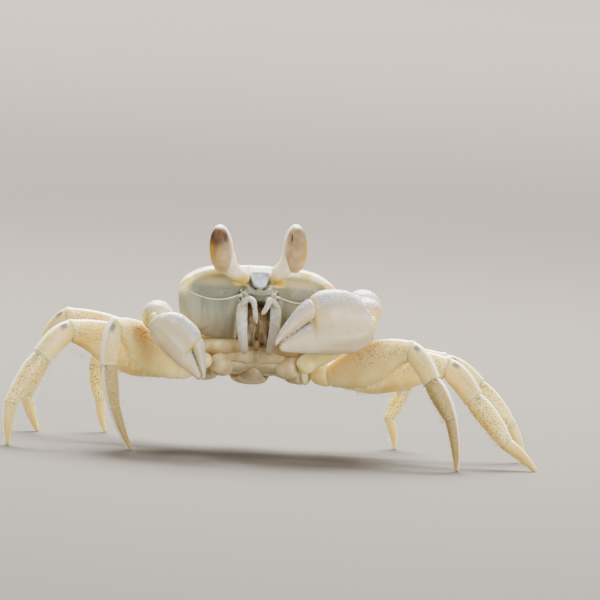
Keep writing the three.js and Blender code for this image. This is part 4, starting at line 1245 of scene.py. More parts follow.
def carapace_material(colours):
    """Calcified shell, matt and finely grained, cream where it is thick at the margins and greyer where
    the body shows through it on the face and in the orbits. The orbits' upper walls carry painted light,
    the face's mouth, crevices and pits painted shade, and the rims of its front lobe a painted highlight."""
    material, tree, where = shell("Calcified shell, carapace", 0.48, 1.5, 0.25, 0.7)
    zones = add_node(tree, "ShaderNodeAttribute", output="Vector", attribute_name="zones")
    zones = add_node(tree, "ShaderNodeSeparateXYZ", zones).node.outputs
    shade_and_seams = add_node(tree, "ShaderNodeAttribute", output="Vector", attribute_name="shade_and_seams")
    shade_and_seams = add_node(tree, "ShaderNodeSeparateXYZ", shade_and_seams).node.outputs
    place = add_node(tree, "ShaderNodeAttribute", output="Vector", attribute_name="place")
    place = add_node(tree, "ShaderNodeSeparateXYZ", place).node.outputs
    orbit = add_node(tree, "ShaderNodeAttribute", output="Vector", attribute_name="orbit")
    orbit = add_node(tree, "ShaderNodeSeparateXYZ", orbit).node.outputs
    base = add_node(tree, "ShaderNodeMix",
        add_node(tree, "ShaderNodeMapRange",
            add_node(tree, "ShaderNodeTexNoise", where, 1 / (2.2 * MM), 3), 0.35, 0.68),
        hex_colour("#8f855f"), hex_colour("#bcb083"))
    mottle = add_node(tree, "ShaderNodeMapRange",
        add_node(tree, "ShaderNodeTexNoise", where, 1 / (0.5 * MM), 4, 0.6), 0.5, 0.6, 0, 0.75)
    base = add_node(tree, "ShaderNodeMix",
        add_node(tree, "ShaderNodeMath", mottle,
            add_node(tree, "ShaderNodeMapRange", place[2], 0.6, 0.0), operation="MULTIPLY"), base,
        hex_colour("#7d7452"))
    bands = add_node(tree, "ShaderNodeMapRange",
        add_node(tree, "ShaderNodeTexNoise",
            add_node(tree, "ShaderNodeMapping", where, named={"Scale": (1.0, 0.25, 0.2)}),
            1 / (1.5 * MM), 2), 0.4, 0.64, 0, 0.8)
    face = add_node(tree, "ShaderNodeMix", bands, hex_colour("#8c8d74"), hex_colour("#66685a"))
    face = add_node(tree, "ShaderNodeMix",
        add_node(tree, "ShaderNodeMapRange", place[1], 0.4, 0.08, 0, 0.4), face, hex_colour("#9f8f76"))
    base = add_node(tree, "ShaderNodeMix", place[2], base, face)
    cream = add_node(tree, "ShaderNodeMix",
        add_node(tree, "ShaderNodeMapRange",
            add_node(tree, "ShaderNodeTexNoise", where, 1 / (1.6 * MM), 2), 0.4, 0.65),
        tuple(colours.margin), hex_colour("#e9d374"))
    base = add_node(tree, "ShaderNodeMix", add_node(tree, "ShaderNodeMapRange", place[0], 0.1, 0.9),
        base, cream)
    specks = add_node(tree, "ShaderNodeMapRange",
        add_node(tree, "ShaderNodeTexNoise", where, 1 / (0.2 * MM), 2), 0.58, 0.7, 0, 0.8)
    deep = add_node(tree, "ShaderNodeMix", specks, hex_colour("#7d7f6e"), hex_colour("#4a4a3a"))
    # The orbit: speckled grey-green low down and cream on its upper wall. The cream is partly the shell's
    # own and partly painted light where light falls inside the roof
    hollow = add_node(tree, "ShaderNodeMix", add_node(tree, "ShaderNodeMapRange", orbit[0], 0.4, 1.0),
        deep, hex_colour("#d3c38c"))
    smudge = add_node(tree, "ShaderNodeMapRange",
        add_node(tree, "ShaderNodeTexNoise", where, 1 / (1.3 * MM), 2), 0.5, 0.62, 0, 0.6)
    hollow = add_node(tree, "ShaderNodeMix",
        add_node(tree, "ShaderNodeMath", smudge,
            add_node(tree, "ShaderNodeMapRange", orbit[0], 0.75, 0.2), operation="MULTIPLY"), hollow,
        hex_colour("#83846c"))
    hollow = add_node(tree, "ShaderNodeMix", add_node(tree, "ShaderNodeMapRange", orbit[1], 0.3, 0.9),
        hollow, hex_colour("#dcc264"))
    base = add_node(tree, "ShaderNodeMix",
        add_node(tree, "ShaderNodeMapRange", zones[0], 0.1, 1.0, 0, 0.95), base, hollow)
    base = add_node(tree, "ShaderNodeMix", add_node(tree, "ShaderNodeMapRange", orbit[2], 0.1, 0.8),
        base, hex_colour("#dfe3c8"))
    # Pale marks, with a painted highlight along the rims of the front lobe
    base = add_node(tree, "ShaderNodeMix", add_node(tree, "ShaderNodeMapRange", zones[1], 0.2, 0.9),
        base, hex_colour("#dfe2c4"))
    lobe = add_node(tree, "ShaderNodeMix",
        add_node(tree, "ShaderNodeMapRange",
            add_node(tree, "ShaderNodeTexNoise", where, 1 / (0.9 * MM), 1), 0.35, 0.65),
        hex_colour("#d8e0ea"), hex_colour("#aab6cc"))
    base = add_node(tree, "ShaderNodeMix", add_node(tree, "ShaderNodeMapRange", zones[2], 0.2, 0.8),
        base, lobe)
    # The face's own grey seam lines, then painted shade: dark brown in the crevices, pits and trench
    # beside the lobe, and brown in the mouth, partly its own colour and partly painted shade
    base = add_node(tree, "ShaderNodeMix",
        add_node(tree, "ShaderNodeMapRange", shade_and_seams[2], 0.0, 1.0, 0, 0.5), base, hex_colour("#8a8872"))
    base = add_node(tree, "ShaderNodeMix", shade_and_seams[1], base, hex_colour("#4d3d26"))
    base = add_node(tree, "ShaderNodeMix", add_node(tree, "ShaderNodeMapRange", shade_and_seams[0], 0.1, 0.8),
        base, hex_colour("#6d4d26"))
    height = add_node(tree, "ShaderNodeMath",
        add_node(tree, "ShaderNodeMapRange",
            add_node(tree, "ShaderNodeTexVoronoi", where, 1 / (0.22 * MM)), 0.0, 0.6, 1, 0),
        add_node(tree, "ShaderNodeTexNoise", where, 1 / (0.8 * MM), 3), operation="ADD")
    return finish_shell(material, base, height, 0.7, 0.018)


def belly_material():
    """Calcified shell of the underside, smoother and creamier, browner in its sutures."""
    material, tree, where = shell("Calcified shell, underside", 0.42, 1.5, 0.3, 0.8)
    limb = add_node(tree, "ShaderNodeAttribute", output="Vector", attribute_name="limb")
    limb = add_node(tree, "ShaderNodeSeparateXYZ", limb).node.outputs
    base = add_node(tree, "ShaderNodeMix",
        add_node(tree, "ShaderNodeMapRange",
            add_node(tree, "ShaderNodeTexNoise", where, 1 / (1.8 * MM), 3), 0.35, 0.7),
        hex_colour("#dccd9c"), hex_colour("#c0a772"))
    folds = add_node(tree, "ShaderNodeMapRange",
        add_node(tree, "ShaderNodeTexNoise",
            add_node(tree, "ShaderNodeMapping", where, named={"Scale": (1.0, 1.0, 0.4)}),
            1 / (0.9 * MM), 2), 0.52, 0.68, 0, 0.25)
    base = add_node(tree, "ShaderNodeMix", folds, base, hex_colour("#a0864e"))
    base = add_node(tree, "ShaderNodeMix",
        add_node(tree, "ShaderNodeMapRange", limb[2], 0.55, 1.0, 0, 0.4), base, hex_colour("#a98f5a"))
    height = add_node(tree, "ShaderNodeTexNoise", where, 1 / (0.35 * MM), 3)
    return finish_shell(material, base, height, 0.6, 0.009)


def claw_material(colours):
    """Thick granular shell, near white and faintly lilac above, cream and tan below, with broad bands of
    painted shade and painted highlight along it.
    """
    material, tree, where = shell("Granular shell, claws", 0.4, 1.52, 0.25, 0.9)
    limb = add_node(tree, "ShaderNodeAttribute", output="Vector", attribute_name="limb")
    limb = add_node(tree, "ShaderNodeSeparateXYZ", limb).node.outputs
    cloud = add_node(tree, "ShaderNodeMapRange",
        add_node(tree, "ShaderNodeTexNoise", where, 1 / (2.6 * MM), 2), 0.38, 0.62)
    lower = add_node(tree, "ShaderNodeMix", cloud, hex_colour("#e0c78e"), hex_colour("#e9d5a8"))
    upper = add_node(tree, "ShaderNodeMix", cloud, tuple(colours.claw), hex_colour("#e2e1e5"))
    wavering = add_node(tree, "ShaderNodeMath", limb[1],
        add_node(tree, "ShaderNodeMapRange",
            add_node(tree, "ShaderNodeTexNoise", where, 1 / (1.4 * MM), 2), 0.2, 0.8, -0.22, 0.22),
        operation="ADD")
    # Painted shade and painted highlight: soft darker and lighter bands along the claw that stand in for
    # the light on its broad facets, drawn broad so that they show
    around = add_node(tree, "ShaderNodeCombineXYZ", limb[0], limb[1], limb[2])
    around = add_node(tree, "ShaderNodeMapping", named={"Vector": around, "Scale": (0.7, 1.5, 1.1)})
    facet_light_bands = add_node(tree, "ShaderNodeTexNoise",
        named={"Vector": around, "Scale": 1.7, "Detail": 1.0})
    base = add_node(tree, "ShaderNodeMix", add_node(tree, "ShaderNodeMapRange", wavering, 0.38, 1.0),
        lower, upper)
    base = add_node(tree, "ShaderNodeMix",
        add_node(tree, "ShaderNodeMapRange", facet_light_bands, 0.5, 0.62, 0, 0.55), base, hex_colour("#c5b596"))
    base = add_node(tree, "ShaderNodeMix",
        add_node(tree, "ShaderNodeMapRange", facet_light_bands, 0.46, 0.34, 0, 0.45), base, hex_colour("#e9e8ea"))
    base = add_node(tree, "ShaderNodeMix",
        add_node(tree, "ShaderNodeMapRange", limb[1], -0.9, -1.0, 0, 0.6), base, hex_colour("#e9dcb8"))
    dots = add_node(tree, "ShaderNodeMapRange",
        add_node(tree, "ShaderNodeTexVoronoi", where, 1 / (0.26 * MM)), 0.14, 0.4, 1, 0)
    sown = add_node(tree, "ShaderNodeMapRange", limb[1], 0.2, 0.85, 0.12, 0.8)
    base = add_node(tree, "ShaderNodeMix",
        add_node(tree, "ShaderNodeMath", add_node(tree, "ShaderNodeMapRange", dots, 0.6, 0.1), sown,
            operation="MULTIPLY"), base, hex_colour("#a09a9e"))
    # The gape: yellow in its corner and brown along both edges
    along = add_node(tree, "ShaderNodeMath", add_node(tree, "ShaderNodeMapRange", limb[0], 0.57, 0.63),
        add_node(tree, "ShaderNodeMapRange", limb[0], 0.99, 0.94), operation="MULTIPLY")
    corner = add_node(tree, "ShaderNodeMath", add_node(tree, "ShaderNodeMapRange", limb[0], 0.52, 0.6),
        add_node(tree, "ShaderNodeMapRange", limb[0], 0.73, 0.64), operation="MULTIPLY")
    corner = add_node(tree, "ShaderNodeMath", corner,
        add_node(tree, "ShaderNodeMapRange", limb[1], -0.2, 0.6, 0, 0.75), operation="MULTIPLY")
    base = add_node(tree, "ShaderNodeMix", corner, base, hex_colour("#dcc052"))
    edge = add_node(tree, "ShaderNodeMath", along,
        add_node(tree, "ShaderNodeMapRange", limb[1], 0.86, 0.98), operation="MULTIPLY")
    finger = add_node(tree, "ShaderNodeMath", add_node(tree, "ShaderNodeMapRange", limb[0], 1.03, 1.08),
        add_node(tree, "ShaderNodeMapRange", limb[0], 1.98, 1.94), operation="MULTIPLY")
    finger = add_node(tree, "ShaderNodeMath", finger,
        add_node(tree, "ShaderNodeMapRange", limb[1], -0.86, -0.98), operation="MULTIPLY")
    base = add_node(tree, "ShaderNodeMix",
        add_node(tree, "ShaderNodeMapRange",
            add_node(tree, "ShaderNodeMath", edge, finger, operation="MAXIMUM"), 0, 1, 0, 0.75), base,
        hex_colour("#8a7656"))
    # The carpus is yellow on its lower face, towards the wrist
    under = add_node(tree, "ShaderNodeMath", add_node(tree, "ShaderNodeMapRange", limb[0], 1.95, 2.05),
        add_node(tree, "ShaderNodeMapRange", limb[1], 0.35, -0.1), operation="MULTIPLY")
    base = add_node(tree, "ShaderNodeMix", add_node(tree, "ShaderNodeMapRange", under, 0, 1, 0, 0.9),
        base, hex_colour("#e6cd6c"))
    return finish_shell(material, base, dots, 0.8, 0.03)


# Brown specks of each leg segment: none at the share start of its length, and as strong as specks
# at the share full. low is the height, from -1 below to 1 above, under which there are none, size
# the spacing in millimetres, and knee is 1 where the segment has a dark spot on its knee.
LEG_LOOKS = {
    "merus": dict(specks=0.85, start=0.15, full=0.6, low=-0.6, size=0.24, knee=0.0),
    "carpus": dict(specks=0.45, start=0.0, full=0.5, low=-0.3, size=0.24, knee=1.0),
    "propodus": dict(specks=1.0, start=-0.2, full=0.0, low=-1.3, size=0.22, knee=0.0),
    "dactyl": dict(specks=0.35, start=0.8, full=-0.3, low=-1.3, size=0.24, knee=0.0),
    # The first pair of legs is browner, partly pigment and partly painted shade
    "front propodus": dict(specks=1.0, start=-0.4, full=-0.1, low=-1.6, size=0.2, knee=0.0),
    "front dactyl": dict(specks=0.9, start=1.5, full=-0.2, low=-1.5, size=0.22, knee=0.0),
}


def leg_material(kind, colours):
    """Thin shell that lets light through: straw yellow, deeper below, with a painted highlight of white
    along the upper edge and brown pigment specks gathered towards the ends of the segments. The first pair
    is browner, partly pigment and partly painted shade."""
    look = LEG_LOOKS[kind]
    material, tree, where = shell(f"Thin shell, {kind} of the legs", 0.38, 1.5, 0.85, 1.5)
    limb = add_node(tree, "ShaderNodeAttribute", output="Vector", attribute_name="limb")
    limb = add_node(tree, "ShaderNodeSeparateXYZ", limb).node.outputs
    cloud = add_node(tree, "ShaderNodeMapRange",
        add_node(tree, "ShaderNodeTexNoise", where, 1 / (2.4 * MM), 2), 0.35, 0.65)
    lower = add_node(tree, "ShaderNodeMix", cloud, tuple(colours.leg_lower), hex_colour("#f5e69c"))
    upper = add_node(tree, "ShaderNodeMix", cloud, hex_colour("#f2e09a"), tuple(colours.leg))
    base = add_node(tree, "ShaderNodeMix", add_node(tree, "ShaderNodeMapRange", limb[1], -0.75, 0.3),
        lower, upper)
    # Darker towards the dactyl's tip; the first pair's darker brown here is partly pigment and partly
    # painted shade
    if kind.endswith("dactyl"):
        base = add_node(tree, "ShaderNodeMix",
            add_node(tree, "ShaderNodeMapRange", limb[0], 0.0, 1.0, 0.25, 0.85), base,
            hex_colour("#8f7843" if kind == "front dactyl" else "#b89c52"))
    # The first pair is mixed towards brown, partly its pigment and partly painted shade
    if kind.startswith("front"):
        base = add_node(tree, "ShaderNodeMix", 0.66, base, hex_colour("#a18a58"))
    if kind == "carpus":
        base = add_node(tree, "ShaderNodeMix",
            add_node(tree, "ShaderNodeMapRange", limb[1], -0.1, 0.6, 0, 0.4), base,
            hex_colour("#d3c28c"))
    fine = add_node(tree, "ShaderNodeTexVoronoi", where, 1 / (look["size"] * MM))
    clumps = add_node(tree, "ShaderNodeMapRange",
        add_node(tree, "ShaderNodeTexNoise", where, 1 / (1.1 * MM), 3), 0.28, 0.48)
    dots = add_node(tree, "ShaderNodeMath", add_node(tree, "ShaderNodeMapRange", fine, 0.42, 0.26),
        clumps, operation="MULTIPLY")
    along = add_node(tree, "ShaderNodeMapRange", limb[0], look["start"], look["full"], 0,
        look["specks"])
    dots = add_node(tree, "ShaderNodeMath",
        add_node(tree, "ShaderNodeMath", dots, along, operation="MULTIPLY"),
        add_node(tree, "ShaderNodeMapRange", limb[1], look["low"], look["low"] + 0.6),
        operation="MULTIPLY")
    base = add_node(tree, "ShaderNodeMix", dots, base, hex_colour("#7a6038"))
    if kind.endswith("propodus"):
        bar = add_node(tree, "ShaderNodeMath", add_node(tree, "ShaderNodeMapRange", limb[0], 0.26, 0.1),
            add_node(tree, "ShaderNodeMapRange", limb[0], 0.02, 0.08), operation="MULTIPLY")
        bar = add_node(tree, "ShaderNodeMath", bar,
            add_node(tree, "ShaderNodeMapRange", limb[1], -0.1, 0.6), operation="MULTIPLY")
        bar = add_node(tree, "ShaderNodeMath", bar,
            add_node(tree, "ShaderNodeMapRange",
                add_node(tree, "ShaderNodeTexNoise", where, 1 / (0.3 * MM), 2), 0.42, 0.56, 0, 0.7),
            operation="MULTIPLY")
        base = add_node(tree, "ShaderNodeMix", bar, base, hex_colour("#6a5a44"))
    if look["knee"]:
        spot = add_node(tree, "ShaderNodeMath",
            add_node(tree, "ShaderNodeMapRange", limb[0], 0.33, 0.22),
            add_node(tree, "ShaderNodeMapRange", limb[0], 0.1, 0.17), operation="MULTIPLY")
        spot = add_node(tree, "ShaderNodeMath", spot,
            add_node(tree, "ShaderNodeMapRange", limb[1], 0.45, 0.72), operation="MULTIPLY")
        spot = add_node(tree, "ShaderNodeMath", spot,
            add_node(tree, "ShaderNodeMapRange", limb[1], 1.0, 0.93), operation="MULTIPLY")
        base = add_node(tree, "ShaderNodeMix",
            add_node(tree, "ShaderNodeMath", spot, 0.85, operation="MULTIPLY"), base,
            hex_colour("#6a6068"))
    # Painted highlight: a white band along the upper edge, standing in for the light from behind that
    # catches the rim
    base = add_node(tree, "ShaderNodeMix",
        add_node(tree, "ShaderNodeMapRange", limb[1], 0.88, 1.0, 0, 0.85), base, hex_colour("#f8f4e2"))
    height = add_node(tree, "ShaderNodeTexNoise", where, 1 / (0.3 * MM), 3)
    return finish_shell(material, base, height, 0.7, 0.014)


def membrane_material():
    """Soft joint cuticle, waxy yellow."""
    material, tree, where = shell("Soft joint cuticle", 0.35, 1.45, 0.5, 1.0)
    base = add_node(tree, "ShaderNodeMix",
        add_node(tree, "ShaderNodeMapRange",
            add_node(tree, "ShaderNodeTexNoise", where, 1 / (0.6 * MM), 3), 0.35, 0.65),
        hex_colour("#d8bf6c"), hex_colour("#e6d59c"))
    height = add_node(tree, "ShaderNodeTexNoise", where, 1 / (0.25 * MM), 2)
    return finish_shell(material, base, height, 0.6, 0.015)


def cornea_material(colours):
    """Smooth cuticle over the facets: brown at the top, beige below, olive yellow at the
    outer edge, with the small dark spot of the facets that look straight ahead."""
    material, tree, where = shell("Facet cuticle of the cornea", 0.5, 1.45, 0.2, 0.4)
    eye = add_node(tree, "ShaderNodeAttribute", output="Vector", attribute_name="eye")
    eye = add_node(tree, "ShaderNodeSeparateXYZ", eye).node.outputs
    cloud = add_node(tree, "ShaderNodeMapRange",
        add_node(tree, "ShaderNodeTexNoise", where, 1 / (1.1 * MM), 3), 0.35, 0.65)
    top = add_node(tree, "ShaderNodeMix", cloud, tuple(colours.cornea), hex_colour("#6d4822"))
    low = add_node(tree, "ShaderNodeMix", cloud, hex_colour("#a88a5a"), hex_colour("#bda276"))
    # Tilted so that the brown reaches lower on the outer side
    tilted = add_node(tree, "ShaderNodeMath", eye[0], 0.22, eye[2], operation="MULTIPLY_ADD")
    wavering = add_node(tree, "ShaderNodeMath", tilted,
        add_node(tree, "ShaderNodeMapRange",
            add_node(tree, "ShaderNodeTexNoise", where, 1 / (0.9 * MM), 3), 0.2, 0.8, -0.1, 0.1),
        operation="ADD")
    tint = add_node(tree, "ShaderNodeAttribute", output="Vector", attribute_name="tint")
    tint = add_node(tree, "ShaderNodeSeparateXYZ", tint).node.outputs
    brown = add_node(tree, "ShaderNodeMath", add_node(tree, "ShaderNodeMapRange", wavering, -0.3, 0.45),
        tint[0], operation="MULTIPLY")
    base = add_node(tree, "ShaderNodeMix", brown, low, top)
    outer = add_node(tree, "ShaderNodeMath", add_node(tree, "ShaderNodeMapRange", eye[0], 0.3, 0.95),
        add_node(tree, "ShaderNodeMapRange", eye[2], 0.6, 0.05, 0, 0.9), operation="MULTIPLY")
    base = add_node(tree, "ShaderNodeMix", outer, base, hex_colour("#bf9a2e"))
    base = add_node(tree, "ShaderNodeMix",
        add_node(tree, "ShaderNodeMapRange", eye[2], -0.75, -1.0, 0, 0.6), base, hex_colour("#cbb476"))
    base = add_node(tree, "ShaderNodeMix",
        add_node(tree, "ShaderNodeMapRange", eye[2], 0.95, 1.0, 0, 0.7), base, hex_colour("#d9c4b2"))
    base = add_node(tree, "ShaderNodeMix",
        add_node(tree, "ShaderNodeMapRange", eye[0], -0.6, -0.98, 0, 0.75), base, hex_colour("#d6c2a0"))
    # The spot, an upright oval
    away = add_node(tree, "ShaderNodeVectorMath",
        add_node(tree, "ShaderNodeCombineXYZ", named={"X": eye[0], "Z": eye[2]}), (-0.44, 0.0, 0.5),
        operation="SUBTRACT")
    away = add_node(tree, "ShaderNodeVectorMath", away, (13.0, 0.0, 6.0), operation="MULTIPLY")
    away = add_node(tree, "ShaderNodeVectorMath", away, operation="LENGTH")
    spot = add_node(tree, "ShaderNodeMath", add_node(tree, "ShaderNodeMapRange", away, 1.25, 0.65),
        add_node(tree, "ShaderNodeMapRange", eye[1], 0.2, -0.3), operation="MULTIPLY")
    base = add_node(tree, "ShaderNodeMix",
        add_node(tree, "ShaderNodeMath", spot, 0.92, operation="MULTIPLY"), base, hex_colour("#2c2018"))
    # The facets, drawn coarser than an eye's own
    height = add_node(tree, "ShaderNodeMapRange",
        add_node(tree, "ShaderNodeTexVoronoi", where, 1 / (0.07 * MM)), 0.0, 0.6, 1, 0)
    return finish_shell(material, base, height, 0.5, 0.004)


def stalk_material():
    """Smooth shell of the eyestalk: yellow at its foot, straw up the neck, pinkish white cap."""
    material, tree, where = shell("Smooth shell, eyestalk", 0.36, 1.5, 0.45, 0.9, coat=0.1)
    eye = add_node(tree, "ShaderNodeAttribute", output="Vector", attribute_name="eye")
    eye = add_node(tree, "ShaderNodeSeparateXYZ", eye).node.outputs
    cloud = add_node(tree, "ShaderNodeMapRange",
        add_node(tree, "ShaderNodeTexNoise", where, 1 / (1.0 * MM), 2), 0.35, 0.65)
    foot = add_node(tree, "ShaderNodeMix", cloud, hex_colour("#cfa530"), hex_colour("#dcc854"))
    neck = add_node(tree, "ShaderNodeMix", cloud, hex_colour("#e8dcae"), hex_colour("#efe8cc"))
    base = add_node(tree, "ShaderNodeMix", add_node(tree, "ShaderNodeMapRange", eye[2], -1.45, -1.0),
        foot, neck)
    base = add_node(tree, "ShaderNodeMix", add_node(tree, "ShaderNodeMapRange", eye[2], -0.4, 0.5),
        base, hex_colour("#f2e8de"))
    height = add_node(tree, "ShaderNodeTexNoise", where, 1 / (0.3 * MM), 2)
    return finish_shell(material, base, height, 0.5, 0.008)


def mouthpart_material():
    """Smooth pale grey shell of the mouthparts, tan towards the far ends of the plates and the antennae.
    """
    material, tree, where = shell("Smooth shell, mouthparts", 0.4, 1.5, 0.35, 0.6)
    base = add_node(tree, "ShaderNodeMix",
        add_node(tree, "ShaderNodeMapRange",
            add_node(tree, "ShaderNodeTexNoise", where, 1 / (0.8 * MM), 3), 0.38, 0.64),
        hex_colour("#c6c6ba"), hex_colour("#b2ad9a"))
    limb = add_node(tree, "ShaderNodeAttribute", output="Vector", attribute_name="limb")
    limb = add_node(tree, "ShaderNodeSeparateXYZ", limb).node.outputs
    base = add_node(tree, "ShaderNodeMix",
        add_node(tree, "ShaderNodeMapRange", limb[0], 0.45, 0.95, 0, 0.6), base, hex_colour("#a08a64"))
    height = add_node(tree, "ShaderNodeTexNoise", where, 1 / (0.22 * MM), 3)
    return finish_shell(material, base, height, 0.7, 0.015)


def mouth_lining_material():
    """Moist lining and inner mouthparts, tan mottled with brown in upright streaks."""
    material, tree, where = shell("Moist mouth lining", 0.42, 1.45, 0.25, 0.5, coat=0.1)
    base = add_node(tree, "ShaderNodeMix",
        add_node(tree, "ShaderNodeMapRange",
            add_node(tree, "ShaderNodeTexNoise",
                add_node(tree, "ShaderNodeMapping", where, named={"Scale": (1.0, 1.0, 0.35)}),
                1 / (0.5 * MM), 3, 0.55), 0.42, 0.62), hex_colour("#8d7448"), hex_colour("#5f4826"))
    height = add_node(tree, "ShaderNodeTexNoise", where, 1 / (0.3 * MM), 3)
    return finish_shell(material, base, height, 0.7, 0.02)


def bristle_material():
    """Chitin bristles, pale straw and a little glossy."""
    material, tree, _ = shell("Chitin bristles", 0.4, 1.55, 0.0, 0.5)
    limb = add_node(tree, "ShaderNodeAttribute", output="Vector", attribute_name="limb")
    limb = add_node(tree, "ShaderNodeSeparateXYZ", limb).node.outputs
    base = add_node(tree, "ShaderNodeMix", add_node(tree, "ShaderNodeMapRange", limb[0], 0.0, 0.9),
        hex_colour("#dccb9c"), hex_colour("#f0e8d0"))
    return finish_shell(material, base)


# ---------------------------------------------------------------- the stage

# The view: turned 4 degrees, 4.5 degrees down and rolled 3.3 degrees, from a metre away,
# so that 75 mm fills the width of a square picture
VIEW_TURN = math.radians(-4)
VIEW_DOWN = math.radians(4.5)
VIEW_ROLL = math.radians(3.3)
VIEW_DISTANCE = 1.0
VIEW_FIELD = 0.075
# Width of the camera's sensor, in millimetres
SENSOR = 36
# The point aimed at: millimetres to the camera's right and up from the floor under the body
VIEW_AIM = (5.56, 18.9)

# The sweep, in metres: half its width and half its run from front to top, how far its front
# edge lies ahead of the crab, the length of its floor and the radius of the bend behind it
SWEEP_HALF_WIDTH = 3.0
SWEEP_HALF_RUN = 2.9
SWEEP_AHEAD = 1.3
SWEEP_FLOOR = 3.2
SWEEP_BEND = 0.5


def make_stage(light, floor_colour):
    """The camera, the sweep, the world and the lamps."""
    right = np.array([math.cos(VIEW_TURN), math.sin(VIEW_TURN), 0])
    up = np.array([-math.sin(VIEW_DOWN) * math.sin(VIEW_TURN),
                   math.sin(VIEW_DOWN) * math.cos(VIEW_TURN), math.cos(VIEW_DOWN)])
    back = np.cross(right, up)
    c, s = math.cos(VIEW_ROLL), math.sin(VIEW_ROLL)
    aim = (VIEW_AIM[0] * right + VIEW_AIM[1] * up + SHIFT) * MM
    place = aim + back * VIEW_DISTANCE
    turned = Matrix((c * right + s * up, -s * right + c * up, back)).transposed()
    camera = bpy.data.objects.new("camera", bpy.data.cameras.new("camera"))
    camera.matrix_world = Matrix.Translation(place) @ turned.to_4x4()
    camera.data.sensor_width = SENSOR
    camera.data.lens = SENSOR * VIEW_DISTANCE / VIEW_FIELD
    camera.data.clip_start = 0.01
    camera.data.clip_end = 20
    bpy.context.scene.collection.objects.link(camera)
    bpy.context.scene.camera = camera

    # A pale sweep: floor and back wall in one sheet, bent up behind the crab
    bm = bmesh.new()
    bmesh.ops.create_grid(bm, x_segments=2, y_segments=60, size=1)
    flat, bend = SWEEP_FLOOR, SWEEP_BEND
    arc = bend * math.pi / 2
    for vert in bm.verts:
        run = (vert.co.y + 1) * SWEEP_HALF_RUN
        x = vert.co.x * SWEEP_HALF_WIDTH
        if run <= flat:
            vert.co = (x, run - SWEEP_AHEAD, 0)
        elif run <= flat + arc:
            turn = (run - flat) / bend
            vert.co = (x, flat - SWEEP_AHEAD + bend * math.sin(turn), bend * (1 - math.cos(turn)))
        else:
            vert.co = (x, flat - SWEEP_AHEAD + bend, bend + run - flat - arc)
    mesh = bpy.data.meshes.new("sweep")
    bm.to_mesh(mesh)
    bm.free()
    mesh.polygons.foreach_set("use_smooth", [True] * len(mesh.polygons))
    sweep = bpy.data.objects.new("sweep", mesh)
    bpy.context.scene.collection.objects.link(sweep)
    # Matt painted board, pale warm grey
    board, tree, where = shell("Matt painted board", 0.85, 1.45, 0.0, 0.5)
    base = add_node(tree, "ShaderNodeMix",
        add_node(tree, "ShaderNodeMapRange",
            add_node(tree, "ShaderNodeTexNoise", where, 1 / (60 * MM), 2), 0.3, 0.7),
        tuple(floor_colour), (*(c * 0.97 for c in floor_colour[:3]), 1.0))
    mesh.materials.append(finish_shell(board, base))

    world = bpy.data.worlds.new("soft room")
    bpy.context.scene.world = world
    world.use_nodes = True
    world.node_tree.nodes["Background"].inputs["Color"].default_value = (0.97, 0.98, 1.0, 1)
    world.node_tree.nodes["Background"].inputs["Strength"].default_value = 0.7
    for name, spot, middle, size, power, colour in (
            ("light_above_behind", (0.03, 0.2, 0.3), (0, 0, 0.014), 0.26, 8.5, (1, 0.98, 0.94)),
            ("light_left_front", (-0.35, -0.4, 0.3), (0, 0, 0.014), 0.35, 1.25, (1, 0.98, 0.95)),
            ("light_right_front", (0.3, -0.42, 0.07), (0.01, 0, 0.01), 0.3, 3.8, (1, 0.99, 0.97)),
            ("light_on_wall", (0.0, 1.1, 1.6), (0, 2.6, 0.3), 1.2, 480.0, (1, 0.97, 0.94))):
        lamp = bpy.data.objects.new(name, bpy.data.lights.new(name, "AREA"))
        lamp.data.size = size
        lamp.data.energy = power * light
        lamp.data.color = colour
        lamp.location = spot
        aim_along = Vector(middle) - Vector(spot)
        lamp.rotation_euler = aim_along.to_track_quat("-Z", "Y").to_euler()
        bpy.context.scene.collection.objects.link(lamp)


# ---------------------------------------------------------------- settings

class GhostCrabColours(bpy.types.PropertyGroup):
    """Colours of the shell."""
    margin: FloatVectorProperty(
        name="Margin", description="Cream margin of the carapace", subtype="COLOR", size=4,
        min=0, max=1, default=hex_colour("#f6f1d4"))
    claw: FloatVectorProperty(
        name="Claws", description="Upper face of the claws", subtype="COLOR", size=4,
        min=0, max=1, default=hex_colour("#f5efe1"))
    leg: FloatVectorProperty(
        name="Legs, above", description="Upper part of the walking legs", subtype="COLOR", size=4,
        min=0, max=1, default=hex_colour("#edd683"))
    leg_lower: FloatVectorProperty(
        name="Legs, below", description="Lower part of the walking legs", subtype="COLOR", size=4,
        min=0, max=1, default=hex_colour("#f0d67c"))
    cornea: FloatVectorProperty(
        name="Cornea", description="Top of the eyes", subtype="COLOR", size=4,
        min=0, max=1, default=hex_colour("#472c14"))


class GhostCrabBristles(bpy.types.PropertyGroup):
    """Sizes of the bristles."""
    length: FloatProperty(
        name="Length", description="Length of the longest bristles", unit="LENGTH",
        min=0.0001, max=0.003, default=0.0009)
    thickness: FloatProperty(
        name="Thickness", description="Thickness of a bristle at its root", unit="LENGTH",
        min=0.00001, max=0.0002, default=0.000045)
    seed: IntProperty(
        name="Seed", description="Changes how the bristles fall", min=0, max=1000, default=7)


class GhostCrabStage(bpy.types.PropertyGroup):
    """Light and floor."""
    light: FloatProperty(
        name="Light", description="Strength of the lamps, 1 as built", min=0.1, max=4, default=1.0)
    floor: FloatVectorProperty(
        name="Floor", description="Colour of the floor and the wall", subtype="COLOR", size=4,
        min=0, max=1, default=hex_colour("#504a43"))


MATERIALS = {}


def material_of(key, build, *args):
    """Each material is built once and shared by its pieces."""
    if key not in MATERIALS:
        MATERIALS[key] = build(*args)
    return MATERIALS[key]


# ---------------------------------------------------------------- operators

